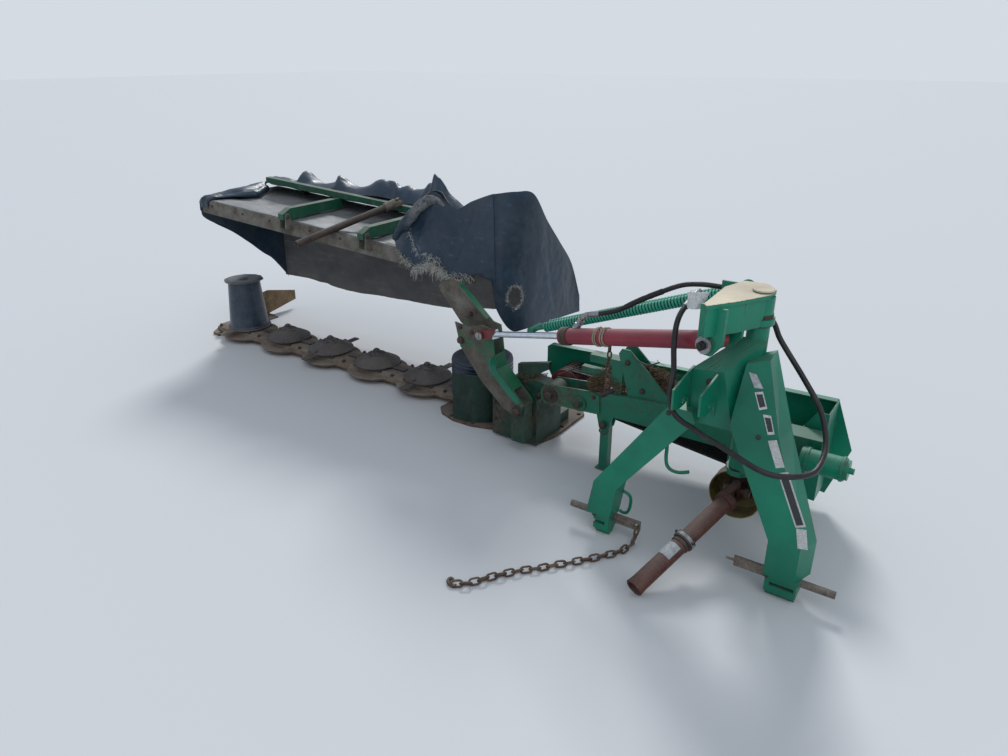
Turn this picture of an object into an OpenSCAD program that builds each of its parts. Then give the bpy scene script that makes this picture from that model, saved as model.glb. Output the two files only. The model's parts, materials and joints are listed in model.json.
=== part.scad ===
/* [Frame placing] */
// shift of the whole machine along X so that its box is centred on the origin
place_x = 1635; // [1400:5:1800]
// shift of the whole machine along Y so that its box is centred on the origin
place_y = -345; // [-600:5:-200]

/* [Hitch] */
// distance between the shoulders of the two lower hitch pins
hitch_width = 825; // [683:1:965]
// diameter of the lower hitch pins
hitch_pin_d = 28.6; // [22:0.1:37]
// height of the lower hitch pins above the ground as parked
hitch_pin_z = 78; // [60:1:120]
// length of each lower hitch pin outside its shoulder
hitch_pin_len = 118; // [90:1:130]
// height of the top link hole above the lower pins
mast_height = 628; // [460:1:685]
// diameter of the top link hole
top_link_d = 25.8; // [19:0.1:32]
// clear width between the two top link plates
top_link_gap = 88; // [52:1:120]
// wall of the folded legs of the headstock
leg_wall = 8; // [4:1:12]

/* [Cutterbar] */
// number of cutting discs
disc_count = 6; // [4:1:8]
// spacing of the disc centres
disc_pitch = 400; // [360:5:450]
// X of the innermost disc
disc_first_x = -1500; // [-1600:5:-1400]
// Y of the disc line
disc_y = 700; // [600:5:800]
// radius of the domed disc
disc_r = 142; // [110:1:160]
// reach of the knife tips from the disc axis
knife_reach = 240; // [200:1:255]
// height of the underside of the discs
disc_z = 84; // [70:1:110]
// radius of the skid under each disc
skid_r = 185; // [150:5:200]
// depth of the cutterbar casting from front to rear
bar_depth = 220; // [160:5:260]

/* [Lift hinge] */
// X of the cutterbar lift hinge
hinge_x = -900; // [-1000:5:-800]
// height of the cutterbar lift hinge
hinge_z = 325; // [280:5:360]
// diameter of the lift hinge pin
hinge_d = 36; // [25:1:50]

/* [Main frame] */
// Y of the front face of the main beam
beam_y = 430; // [380:5:480]
// depth of the main beam
beam_depth = 100; // [80:5:130]
// height of the underside of the main beam
beam_z = 293; // [260:1:340]
// X of the upright king pin
king_x = 98; // [80:1:140]
// Y of the upright king pin
king_y = 150; // [100:1:200]
// diameter of the king pin
king_d = 50; // [40:1:60]

/* [Drive] */
// X of the input shaft
shaft_x = 92; // [60:1:120]
// height of the input shaft
shaft_z = 250; // [220:1:300]
// diameter of the input shaft
shaft_d = 35; // [30:1:45]
// radius of the driving belt pulley
pulley_r = 125; // [100:1:150]
// radius of the driven belt pulley
driven_r = 80; // [60:1:95]
// pitch of the belt grooves
groove_pitch = 22; // [16:1:25]

/* [Lift cylinder] */
// X, Y and height of the cylinder base pin
base_pin = [5, -5, 925];
// X, Y and height of the rod end pin beside the lever
rod_pin = [-1212, 314, 602];
// outside diameter of the cylinder barrel
barrel_d = 68; // [50:1:90]
// diameter of the chromed rod
rod_d = 28; // [20:1:40]
// length of the barrel from base pin to gland face
barrel_len = 755; // [500:1:800]

/* [Shield] */
// X of the inner end of the shield
shield_x = -1450; // [-1600:5:-1300]
// Y of the centre rail of the shield
shield_y = 580; // [500:5:650]
// height of the centre rail at its inner end
shield_z = 834; // [780:1:900]
// length of the shield
shield_len = 2200; // [1800:10:2600]
// depth of the shield behind its centre rail
shield_depth = 630; // [500:10:700]
// rise of the shield toward its outer end in degrees
shield_tilt = 3.1; // [0:0.1:6]
// thickness of the curtain fabric
cloth_t = 3; // [2:0.5:6]

/* [Hidden] */
half_w = hitch_width / 2;
top_z = hitch_pin_z + mast_height;
// X of the inner faces of the top link plates
link_x0 = -66;
link_x1 = link_x0 + top_link_gap;
beam_back = beam_y + beam_depth;
// depths of the front wall and rear wall of the belt guard
guard_y0 = beam_back + 11;
guard_y1 = beam_back + 185;
belt_y0 = beam_back + 30;
belt_y1 = beam_back + 170;
plate_t = 8;
// X along the shield of the two front arms
arm_x = [-1400, -760];
arm_w = 42;
lever_pin = [-1030, 234];
stand_pin = [-612, 245];
// X of the ring in the left flat bar
ring_x = -229;
// radius, bar radius and pitch of the chain links
link_r = 22;
link_t = 4.5;
link_pitch = 34.7;
bar_front = 441;
bar_back = beam_back + 148;
bar_end = disc_first_x - (disc_count - 1) * disc_pitch;
spring_y = [468, 520];
spring_r = 24;
spring_near = [-60, 976];
spring_far = [-1035, 613];
green = [0.05, 0.38, 0.18];
steel = [0.5, 0.5, 0.5];
rust = [0.35, 0.22, 0.16];
black = [0.12, 0.13, 0.15];
red = [0.6, 0.1, 0.15];
cyl_v = rod_pin - base_pin;
cyl_l = norm(cyl_v);
// hose route from the cylinder port round the horn and down in front of the right leg
hose_route = [[-590, 196, 848], [-476, 200, 885], [-387, 212, 939], [-314, 225, 980], [-229, 242, 1021],
  [-166, 262, 1030], [-119, 285, 1026], [-71, 305, 1020], [-30, 316, 1014], [20, 318, 992], [70, 300, 965],
  [125, 250, 935], [155, 222, 900], [188, 215, 860], [269, 195, 771], [343, 160, 690], [388, 95, 625],
  [405, 20, 586], [399, -60, 563], [366, -120, 564], [317, -170, 572], [262, -195, 585], [197, -195, 605],
  [122, -170, 618], [40, -140, 626], [-10, -122, 636], [-45, -117, 645], [-74, -113, 661], [-96, -106, 686],
  [-107, -95, 722], [-110, -82, 765], [-114, -66, 814], [-127, -50, 885], [-137, -20, 952], [-138, 20, 992],
  [-130, 80, 1021]];
// chain route on the ground from the ring at the left foot to the hook
chain_route = [[-229, -56], [-240, -100], [-262, -145], [-328, -233], [-405, -317], [-459, -383],
  [-515, -444], [-579, -539], [-624, -611], [-697, -662]];

module place() { translate([place_x, place_y, 0]) children(); }
module box(a, b) { translate(a) cube(b - a); }
// solid seen from the front, drawn as x, z points between two depths
module side_plate(pts, y0, y1) {
  translate([0, y1, 0]) rotate([90, 0, 0]) linear_extrude(height = y1 - y0) polygon(pts);
}
// plate seen from the side, drawn as y, z points between two X values
module end_plate(pts, x0, x1) {
  translate([x0, 0, 0]) rotate([90, 0, 90]) linear_extrude(height = x1 - x0) polygon(pts);
}
// cylinder along Y
module pin_y(x, z, y0, y1, r) { translate([x, y1, z]) rotate([90, 0, 0]) cylinder(h = y1 - y0, r = r, $fn = 48); }
// cylinder along X
module pin_x(y, z, x0, x1, r) { translate([x0, y, z]) rotate([0, 90, 0]) cylinder(h = x1 - x0, r = r, $fn = 48); }
// cylinder along Z
module pin_z(x, y, z0, z1, r) { translate([x, y, z0]) cylinder(h = z1 - z0, r = r, $fn = 48); }
// turned part about an axis along Y, drawn as radius, y points
module turned_y(x, z, pts) {
  translate([x, 0, z]) rotate([-90, 0, 0]) rotate_extrude($fn = 64) polygon(pts);
}
// block between a lower and an upper four-point face, each listed anticlockwise seen from above
module block(low, high) {
  quads = [[0, 1, 2, 3], [7, 6, 5, 4], [0, 4, 5, 1], [1, 5, 6, 2], [2, 6, 7, 3], [3, 7, 4, 0]];
  polyhedron(concat(low, high), [for (q = quads) each [[q[0], q[1], q[2]], [q[0], q[2], q[3]]]]);
}
// put the X axis of the children on the line from p to q, Y kept level
module along(p, q) {
  v = q - p;
  translate(p) rotate([0, 0, atan2(v[1], v[0])]) rotate([0, -atan2(v[2], norm([v[0], v[1]])), 0]) children();
}
// put the children at the cylinder base pin, their X axis level and away from the cylinder
module at_base() { translate(base_pin) rotate([0, 0, atan2(-cyl_v[1], -cyl_v[0])]) children(); }
module in_shield() { translate([shield_x, shield_y, shield_z]) rotate([0, shield_tilt, 0]) children(); }
// thin sheet through rows of points, its thickness laid off along d
module cloth(given, d) {
  n = len(given);
  m = len(given[0]);
  k = n * m;
  up = cross(given[0][m - 1] - given[0][0], given[n - 1][0] - given[0][0]);
  rows = up * d > 0 ? given : [for (i = [n - 1:-1:0]) given[i]];
  pts = concat([for (r = rows) for (p = r) p], [for (r = rows) for (p = r) p + d]);
  quads = [for (i = [0:n - 2]) for (j = [0:m - 2]) [i * m + j, i * m + j + 1, i * m + m + j + 1, i * m + m + j]];
  low = [for (q = quads) each [[q[0], q[1], q[2]], [q[0], q[2], q[3]]]];
  high = [for (t = low) [t[2] + k, t[1] + k, t[0] + k]];
  rim = concat([for (j = [0:m - 1]) j], [for (i = [1:n - 1]) i * m + m - 1],
    [for (j = [m - 2:-1:0]) (n - 1) * m + j], [for (i = [n - 2:-1:1]) i * m]);
  c = len(rim);
  side = [for (a = [0:c - 1]) let (p = rim[a], q = rim[(a + 1) % c]) each [[p, p + k, q + k], [p, q + k, q]]];
  polyhedron(pts, concat(low, high, side));
}
// round tube through a list of points
module tube(pts, r, sides) {
  n = len(pts);
  rings = [for (i = [0:n - 1]) let (
      t = pts[min(i + 1, n - 1)] - pts[max(i - 1, 0)],
      u = t / norm(t),
      s = cross(u, [1, 1, 1]),
      a = s / norm(s),
      b = cross(a, u))
    for (j = [0:sides - 1]) pts[i] + r * (cos(360 * j / sides) * a + sin(360 * j / sides) * b)];
  walls = [for (i = [0:n - 2]) for (j = [0:sides - 1])
    let (p = i * sides + j, q = i * sides + (j + 1) % sides)
    each [[p, q, q + sides], [p, q + sides, p + sides]]];
  polyhedron(rings, concat(walls, [[for (j = [sides - 1:-1:0]) j]], [[for (j = [0:sides - 1]) (n - 1) * sides + j]]));
}
// point at distance s along a list of plan points
function run(p, s, i = 0) = let (l = norm(p[i + 1] - p[i]))
  s <= l || i == len(p) - 2 ? p[i] + (p[i + 1] - p[i]) * s / l : run(p, s - l, i + 1);

// A-shaped stand on the tractor side, the fixed root of the machine
module headstock() place() color(green) {
  leg = [[-438, 95], [-333, 95], [-312, 239], [-46, 587], [-24, 616], [-40, 655], [-128, 655], [-140, 639], [-412, 247]];
  leg_core = [[-429, 80], [-342, 80], [-321, 242], [-54, 592], [-40, 616], [-48, 640], [-120, 640], [-134, 634], [-403, 244]];
  kx = king_x;
  difference() {
    union() {
      difference() {
        side_plate(leg, -45, 50);
        side_plate(leg_core, leg_wall - 45, 60);
      }
      difference() {
        union() {
          block([[286, -45, 95], [397, -45, 95], [430, 50, 95], [286, 50, 95]],
            [[286, -45, 238], [397, -45, 238], [430, 50, 238], [286, 50, 238]]);
          block([[286, -45, 238], [397, -45, 238], [430, 50, 238], [286, 50, 238]],
            [[98, -45, 640], [268, -45, 640], [286, 50, 640], [98, 50, 640]]);
        }
        block([[294, -37, 80], [392, -37, 80], [420, 60, 80], [294, 60, 80]],
          [[294, -37, 238], [392, -37, 238], [420, 60, 238], [294, 60, 238]]);
        block([[294, -37, 238], [392, -37, 238], [420, 60, 238], [294, 60, 238]],
          [[110, -37, 632], [258, -37, 632], [275, 60, 632], [110, 60, 632]]);
      }
      // upper end of the right leg, leaning back to the king tube
      block([[98, -45, 640], [268, -45, 640], [286, 50, 640], [98, 60, 640]],
        [[108, 30, 850], [184, 30, 880], [178, 140, 880], [108, 140, 850]]);
      // mast box between the top link plates and the king tube
      block([[link_x0 - plate_t, -4, 600], [98, -4, 600], [kx + 45, 125, 620], [kx - 36, 125, 620]],
        [[link_x0 - plate_t, -4, 800], [45, -4, 815], [kx + 45, 118, 908], [kx - 38, 118, 912]]);
      // top link plates
      for (x = [link_x0 - plate_t, link_x1])
        end_plate([[-165, 702], [-168, 779], [-4, 806], [20, 806], [20, 640], [-4, 640], [-24, 698], [-48, 684], [-108, 684]], x, x + plate_t);
      // feet
      for (f = [[-half_w, -333], [288, half_w]]) {
        box([f[0], -43, 84], [f[1], 46, 98]);
        box([f[0] + 6, -38, 26], [f[1] - 6, 38, 86]);
        pin_x(0, 34, f[0] + 10, f[1] - 10, 34);
        box([f[0] + 10, -18, 0], [f[1] - 10, 18, 12]);
      }
      pin_z(kx, king_y, 390, 955, 39);
      // bracket from the right leg to the foot of the king tube
      translate([0, 0, 395]) linear_extrude(height = 45)
        polygon([[75, 120], [125, 180], [300, 62], [300, 44], [212, 44]]);
    }
    pin_x(-70, top_z, -200, 200, top_link_d / 2);
    pin_x(-20, 740, link_x1 - 2, link_x1 + plate_t + 2, 7);
    pin_z(kx, king_y, 300, 1000, king_d / 2 + 0.5);
    pin_x(0, hitch_pin_z, -500, -300, 11);
    pin_x(0, hitch_pin_z, 200, 500, 11);
    // slots in the feet
    box([-415, -60, 50], [-356, -20, 66]);
    box([312, -60, 50], [398, -20, 66]);
  }
}

// pin outside each foot, with its shoulder, and the flat bar inside
module hitch_pins() place() color(rust) {
  for (s = [-1, 1]) {
    in_end = s < 0 ? -333 : 286;
    shoulder = s * half_w;
    tip = s * (half_w + hitch_pin_len);
    bar_tip = in_end - s * 118;
    pin_x(0, hitch_pin_z, min(shoulder, tip), max(shoulder, tip), hitch_pin_d / 2);
    pin_x(0, hitch_pin_z, min(shoulder, in_end), max(shoulder, in_end), 11);
    difference() {
      box([min(in_end, bar_tip), -5, hitch_pin_z - 21], [max(in_end, bar_tip), 5, hitch_pin_z + 21]);
      pin_y(ring_x, hitch_pin_z, -20, 20, 10);
    }
  }
  pin_x(0, hitch_pin_z, 138, 172, 5);
}

// one chain link or ring lying flat round its centre
module link() { rotate_extrude($fn = 24) translate([link_r, 0]) circle(r = link_t, $fn = 16); }

// ring on the left flat bar and the chain on the ground
module hitch_chain() place() color(rust) {
  translate([ring_x, 0, hitch_pin_z - 26.8]) rotate([0, 90, 0]) link();
  translate([ring_x, -21.3, hitch_pin_z - 54.2]) rotate([52, 0, 0]) link();
  for (i = [0:21]) {
    p = run(chain_route, i * link_pitch);
    q = run(chain_route, i * link_pitch + 10);
    translate([p[0], p[1], link_t + link_r * 0.71]) rotate([0, 0, atan2(q[1] - p[1], q[0] - p[0])]) rotate([i % 2 * 90 - 45, 0, 0]) link();
  }
}

// head on top of the king pin with the cylinder bracket and the spring arm
module swing_head() place() color(green) {
  kx = king_x;
  difference() {
    union() {
      translate([0, 0, 1060]) linear_extrude(height = 14)
        polygon([[-21, -97], [-5, -118], [71, -1], [132, 120], [132, 190], [118, 214], [84, 251], [3, 246], [-31, 132]]);
      pin_z(kx, king_y, 962, 1060, 44);
      pin_z(kx, king_y, 962, 985, 52);
      // face plates under the top plate
      translate([0, 0, 962]) linear_extrude(height = 98) polygon([[-17, -100], [-5, -112], [68, 2], [124, 118], [112, 124], [56, 8]]);
      translate([0, 0, 985]) linear_extrude(height = 75) polygon([[-21, -97], [-12, -100], [-20, 132], [10, 240], [0, 243], [-30, 132]]);
      at_base() {
        for (y = [-64, 50]) translate([0, y + 14, 0]) rotate([90, 0, 0]) linear_extrude(height = 14)
          polygon([[-34, -14], [-16, -38], [22, -38], [62, 10], [66, 136], [-34, 136]]);
      }
    }
    at_base() rotate([90, 0, 0]) translate([0, 0, -100]) cylinder(h = 200, r = 15, $fn = 48);
  }
  // base pin with its large washers
  at_base() rotate([90, 0, 0]) {
    translate([0, 0, -80]) cylinder(h = 162, r = 15, $fn = 48);
    translate([0, 0, 64]) cylinder(h = 5, r = 32, $fn = 48);
    translate([0, 0, 69]) cylinder(h = 4, r = 27, $fn = 48);
    translate([0, 0, -69]) cylinder(h = 5, r = 32, $fn = 48);
  }
  pin_z(kx, king_y, 358, 1082, king_d / 2);
  pin_z(kx, king_y, 1074, 1080, 34);
  pin_z(kx, king_y, 362, 385, 45);
  box([kx - 50, king_y, 362], [kx + 50, beam_y, 385]);
  // arm that carries the springs
  box([-76, 236, 958], [12, 246, 1066]);
  box([-76, 240, 960], [-44, 432, 992]);
  pin_y(spring_near[0], spring_near[1], 420, spring_y[1] + 30, 15);
}

module main_beam() place() color(green) {
  y1 = beam_y + beam_depth;
  difference() {
    union() {
      difference() {
        side_plate([[-690, beam_z], [-690, 395], [-300, 425], [330, 436], [330, beam_z - 2]], beam_y, y1);
        box([-320, beam_y + 8, beam_z + 8], [400, y1 - 8, 417]);
      }
      for (y = [beam_y - 8, y1])
        side_plate([[-930, 274], [-948, 292], [-955, 320], [-948, 352], [-926, 374], [-680, 397], [-640, 384],
          [-634, 300], [-650, 290]], y, y + 8);
      for (y = [beam_y, beam_y + 50.6])
        side_plate([[stand_pin[0] - 42, beam_z + 2], [stand_pin[0] + 42, beam_z + 2], [stand_pin[0] + 24, 222],
          [stand_pin[0] - 24, 222]], y, y + 8);
      for (y = [beam_y + 14, beam_y + 78])
        side_plate([[-505, 402], [-300, 420], [-300, 434], [-512, 628], [-552, 628], [-566, 604]], y, y + 8);
      // channel and small tube behind the gussets
      box([-711, beam_y + 22, 530], [-545, beam_y + 78, 566]);
      box([-757, beam_y + 30, 464], [-530, beam_y + 62, 496]);
      box([-600, beam_y + 22, 396], [-545, beam_y + 30, 540]);
    }
    pin_y(hinge_x, hinge_z, beam_y - 20, y1 + 20, hinge_d / 2 + 0.05);
    pin_y(stand_pin[0], stand_pin[1], beam_y - 30, beam_y + 90, 8);
  }
  pin_y(-742, 322, beam_y - 22, y1 + 14, 20);
  pin_y(-742, 322, beam_y - 13, beam_y - 8, 36);
}

// belt guard with an open front, its rim turned forward along the top
module belt_guard() place() color(green) {
  outline = [[-1094, 330], [-1094, 440], [-1060, 466], [-745, 478], [40, 503], [316, 508], [402, 290],
    [328, 60], [-40, 110], [-1000, 215], [-1060, 270]];
  difference() {
    union() {
      side_plate(outline, guard_y1, guard_y1 + 4);
      box([316, guard_y0, 107], [320, guard_y1 + 2, 506]);
      side_plate([[148, 388], [211, 398], [274, 506], [318, 506], [318, 108], [-60, 128], [-60, 440], [40, 452], [90, 440]],
        guard_y0, guard_y0 + 4);
      side_plate([[-64, 130.3], [318, 110], [318, 106], [-64, 126.3]], guard_y0, guard_y1 + 2);
      side_plate([[-1060, 462], [-745, 474], [40, 499], [316, 504], [316, 508], [40, 503], [-745, 478], [-1060, 466]],
        guard_y1 - 31, guard_y1 + 2);
    }
    pin_y(shaft_x, shaft_z, 500, 620, shaft_d / 2 + 6);
  }
  box([-60, beam_back, 300], [40, guard_y0, 420]);
}

// tube round the input shaft with its flared guard
module shaft_guard() place() color(black)
  turned_y(shaft_x, shaft_z, [[30, guard_y0], [38, guard_y0], [38, 300], [60, 285], [98, 250], [102, 230], [102, 165],
    [98, 165], [98, 228], [94, 246], [58, 281], [30, 296]]);

// round housing of the breakaway pivot at the end of the beam
module pivot_tube() place() color(green) {
  pin_x(378, 372, 270, 436, 46);
  pin_x(378, 372, 290, 300, 50);
  pin_x(378, 372, 420, 430, 50);
  pin_x(378, 372, 436, 448, 40);
  pin_x(378, 372, 448, 466, 12);
  box([270, 378, 330], [300, beam_y, 405]);
}

// grooved rim between two depths with a plain bore
module grooved(x, z, r, y0, y1, bore) turned_y(x, z, concat([[bore, y0], [r, y0]],
  [for (y = [y0 + 8:groove_pitch:y1 - 20]) each [[r, y], [r - 11, y + 5], [r - 11, y + 9], [r, y + 14]]],
  [[r, y1], [bore, y1]]));

module drive_pulley() place() color(red) {
  grooved(shaft_x, shaft_z, pulley_r, belt_y0, belt_y1, 30);
  turned_y(shaft_x, shaft_z, [[0, 262], [shaft_d / 2, 262], [shaft_d / 2, belt_y0 - 8], [32, belt_y0 - 8],
    [32, belt_y1 - 4], [0, belt_y1 - 4]]);
}

module driven_pulley() place() color(red)
  grooved(hinge_x, hinge_z, driven_r, belt_y0, belt_y1, hinge_d / 2 + 0.05);

// yoke on the input shaft
module drive_yoke() place() color(rust) {
  difference() {
    pin_y(shaft_x, shaft_z, 250, 293.5, 34);
    pin_y(shaft_x, shaft_z, 261.5, 300, shaft_d / 2 + 0.05);
  }
  for (s = [-1, 1]) side_ear(s);
}
module side_ear(s) translate([shaft_x + s * 36.5, 0, shaft_z]) rotate([0, 90, 0]) {
  translate([0, 205, 0]) cylinder(h = 16.8, r = 20, center = true, $fn = 32);
  translate([-18, 205, -8.4]) cube([36, 47, 16.8]);
}

// outer half of the driveline, hanging from its cross to the ground
module shaft_outer_half() place() color(rust) {
  far = [-100, -330, 26];
  pin_x(205, shaft_z, shaft_x - 28, shaft_x + 28, 12);
  along([shaft_x, 205, shaft_z], far) {
    translate([0, 0, -28]) cylinder(h = 56, r = 12, $fn = 32);
    for (s = [-1, 1]) translate([0, 0, s * 34]) {
      cylinder(h = 12, r = 18, center = true, $fn = 32);
      translate([0, -14, -6]) cube([62, 28, 12]);
    }
    rotate([0, 90, 0]) {
      translate([0, 0, 56]) cylinder(h = 26, r = 42, $fn = 48);
      difference() {
        translate([0, 0, 80]) cylinder(h = 510, r = 33, $fn = 48);
        translate([0, 0, 140]) cylinder(h = 480, r = 28, $fn = 48);
      }
      translate([0, 0, 300]) cylinder(h = 24, r = 40, $fn = 48);
    }
  }
}

module cylinder_barrel() place() color(red) {
  along(base_pin, rod_pin) difference() {
    union() {
      translate([20, 0, 0]) rotate([0, 90, 0]) cylinder(h = barrel_len - 60, r = barrel_d / 2, $fn = 48);
      translate([barrel_len - 42, 0, 0]) rotate([0, 90, 0]) cylinder(h = 42, r = barrel_d / 2 + 4, $fn = 48);
      rotate([90, 0, 0]) translate([0, 0, -30]) cylinder(h = 60, r = 32, $fn = 48);
    }
    rotate([90, 0, 0]) translate([0, 0, -60]) cylinder(h = 120, r = 15.4, $fn = 48);
    translate([60, 0, 0]) rotate([0, 90, 0]) cylinder(h = barrel_len - 90, r = barrel_d / 2 - 7, $fn = 48);
    translate([60, 0, 0]) rotate([0, 90, 0]) cylinder(h = barrel_len, r = rod_d / 2 + 0.3, $fn = 48);
  }
  // port elbow
  along([-642, 176, 786], [-612, 194, 840]) rotate([0, 90, 0]) cylinder(h = 64, r = 10, $fn = 24);
}

module cylinder_rod() place() color(steel) {
  along(base_pin, rod_pin) {
    translate([530, 0, 0]) rotate([0, 90, 0]) cylinder(h = 30, r = barrel_d / 2 - 7.3, $fn = 48);
    translate([555, 0, 0]) rotate([0, 90, 0]) cylinder(h = cyl_l - 630, r = rod_d / 2, $fn = 48);
    difference() {
      translate([cyl_l - 92, -20, -21]) cube([112, 40, 42]);
      translate([cyl_l - 34, -9, -30]) cube([80, 18, 60]);
    }
  }
  pin_y(rod_pin[0], rod_pin[2], rod_pin[1] - 32, rod_pin[1] + 26, 12.5);
  pin_y(rod_pin[0], rod_pin[2], rod_pin[1] - 37, rod_pin[1] - 31, 20);
}

// two close-wound springs between the arm on the swing head and a cross pin
module float_springs() place() color(green) {
  far = [spring_far[0], 0, spring_far[1]];
  for (y = spring_y) {
    along([spring_near[0], y, spring_near[1]], [far[0], y, far[2]]) {
      translate([52, 0, 0]) rotate([0, 90, 0]) rotate_extrude($fn = 24) polygon(concat([[0, 0], [spring_r, 0]],
        [for (k = [0:41]) each [[spring_r, k * 21.5 + 6], [spring_r - 4, k * 21.5 + 14]]], [[spring_r, 912], [0, 912]]));
      translate([16, 0, 0]) rotate([0, 90, 0]) cylinder(h = 40, r = 8, $fn = 24);
      translate([960, 0, 0]) rotate([0, 90, 0]) cylinder(h = 64, r = 8, $fn = 24);
    }
    difference() {
      pin_y(spring_near[0], spring_near[1], y - 9, y + 9, 21);
      pin_y(spring_near[0], spring_near[1], y - 20, y + 20, 15.05);
    }
  }
  pin_y(far[0], far[2], spring_y[0] - spring_r, spring_y[1] + spring_r, 16);
}

// hinge pin and the knuckle of the bar
module bar_hinge() place() color(green) {
  pin_y(hinge_x, hinge_z, beam_y - 16, guard_y1 - 5, hinge_d / 2);
  pin_y(hinge_x, hinge_z, beam_y + 8.3, beam_y + 92, 50);
  side_plate([[-1100, 285], [-960, 285], [-930, 298], [-930, 352], [-960, 366], [-1100, 366]], bar_front, beam_y + 92);
  // tie bar over the hinge
  side_plate([[-1100, 350], [-1070, 350], [-925, 440], [-925, 475], [-1100, 432]], 445, 472);
}

// housing at the inner end of the bar, with the ear for the lever
module gearbox() place() color(green) {
  difference() {
    side_plate([[-1250, 14], [-985, 14], [-985, 262], [-1008, 285], [-1225, 285], [-1250, 262]], bar_front, bar_back);
    box([-1210, bar_front + 90, 225], [-1060, bar_back - 40, 300]);
  }
  box([-1230, bar_back, 14], [-1010, disc_y + bar_depth / 2, 72]);
  box([-1075, 349.3, 60], [-1000, 420.7, 262]);
  box([-1075, 349.3, 60], [-1000, bar_front, 170]);
  pin_y(lever_pin[0], lever_pin[1], 331, 435, 15);
  pin_y(lever_pin[0], lever_pin[1], 329, 337, 27);
}

// sole under the inner end and the curved skirt round the first disc
module inner_shoe() place() color(rust) {
  linear_extrude(height = 14)
    polygon([[-1670, 530], [-1620, 480], [-1520, 446], [-1400, 446], [-1250, 490], [-990, 492], [-962, 600], [-962, 900],
      [-1000, 948], [-1600, 900], [-1660, 800]]);
  translate([disc_first_x, disc_y, 14]) intersection() {
    difference() {
      cylinder(h = 272, r = 252, $fn = 96);
      translate([0, 0, -1]) cylinder(h = 280, r = 246, $fn = 96);
    }
    translate([0, 0, -5]) linear_extrude(height = 300) polygon([[0, 0], [-20, -300], [150, -300], [235, -150]]);
  }
}

// casting that carries the discs, with a skid under each
module cutterbar() place() color(rust) {
  h = bar_depth / 2;
  end_plate([[disc_y - h, 40], [disc_y - h + 10, 24], [disc_y - h + 45, 16], [disc_y + h - 45, 16],
    [disc_y + h - 10, 26], [disc_y + h, 44], [disc_y + h - 6, 60], [disc_y + h - 30, 72],
    [disc_y - h + 40, 72], [disc_y - h + 8, 60]], bar_end - 220, -1250);
  for (i = [0:disc_count - 1]) {
    x = disc_first_x - i * disc_pitch;
    pin_z(x, disc_y, 72, disc_z - 0.3, 45);
    if (i > 0) translate([x, disc_y, 0]) rotate_extrude($fn = 48)
      polygon([[0, 3], [70, 3], [skid_r - 40, 12], [skid_r - 6, 32], [skid_r, 42], [skid_r - 12, 46], [0, 46]]);
  }
}

// sole under the outer end and the board that parts the crop
module outer_shoe() place() color(rust) {
  linear_extrude(height = 16)
    polygon([[bar_end - 300, 640], [bar_end - 260, 580], [bar_end - 190, 570], [bar_end - 190, 820], [bar_end - 200, 1080],
      [bar_end - 300, 1080]]);
  end_plate([[790, 14], [800, 120], [860, 170], [1100, 190], [1350, 130], [1350, 60], [1080, 14]],
    bar_end - 280, bar_end - 272);
}

// two cheeks that carry the shield
module lever() place() color(green) {
  pts = [[-1060, 204], [-1012, 210], [-1002, 277], [-1151, 424], [-1167, 491], [-1176, 560], [-1186, 622],
    [-1240, 632], [-1322, 606], [-1403, 618], [-1373, 498], [-1244, 337], [-1118, 230]];
  difference() {
    union() {
      side_plate(pts, 341, 349);
      side_plate(pts, 421, 429);
      side_plate([[-1060, 334], [-1151, 424], [-1167, 491], [-1175, 489], [-1158, 420], [-1066, 329]], 349, 421);
      pin_y(-1368, 530, 349, 421, 14);
    }
    pin_y(lever_pin[0], lever_pin[1], 300, 500, 15.05);
  }
}

// arm from the lever up to the rail of the shield
module shield_arm() place() color(green) {
  side_plate([[-1250, 540], [-1195, 593], [-1420, 789], [-1500, 800], [-1567, 760], [-1567, 739], [-1432, 584],
    [-1407, 568]], 429, 435);
  side_plate([[-1255, 645], [-1420, 789], [-1424, 784], [-1259, 640]], 400, 429);
  box([-1560, 435, 768], [-1480, 576, 776]);
}

// ring of rails under the shield with the lugs of the front arms
module shield_frame() place() color(green) in_shield() {
  box([-shield_len, -4, -85], [0, 0, 0]);
  box([-shield_len, 0, -4], [0, 40, 0]);
  box([-shield_len, 0, -85], [0, 14, -81]);
  box([-shield_len, shield_depth - 30, -30], [0, shield_depth, 0]);
  box([-shield_len, 0, -34], [-shield_len + 30, shield_depth, -4]);
  box([-30, 0, -34], [0, shield_depth, -4]);
  for (x = arm_x) {
    for (s = [x - 10, x + arm_w + 0.3]) end_plate([[-50, -40], [-4, -60], [-4, 0], [-20, 50], [-44, 50]], s, s + 9.7);
    pin_x(-32, 30, x - 12, x + arm_w + 12, 8);
  }
}

// sagging cloth over the rails
module shield_top() place() color(black) in_shield()
  cloth([for (y = [5, 42, 180, 320, 460, shield_depth - 32, shield_depth])
    [for (k = [0:12]) let (x = -shield_len * (1 - k / 12))
      [x, y, y < 50 || y > shield_depth - 40 ? 0 : -9 * sin(180 * (y - 40) / (shield_depth - 70)) * abs(sin(180 * 3 * k / 12))]]], [0, 0, cloth_t]);

// rear cloth hanging from the rear rail
module rear_curtain() place() color(black) in_shield() {
  low = [-660, -650, -640, -636, -628, -615, -600, -585, -560, -530, -490, -450, -420];
  cloth([for (t = [0, 0.06, 0.3, 0.5, 0.75, 1]) [for (k = [0:12])
    [-shield_len * (1 - k / 12), shield_depth + 16 * t * (1 + sin(k * 75)), low[k] * t]]], [0, cloth_t, 0]);
}

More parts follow.
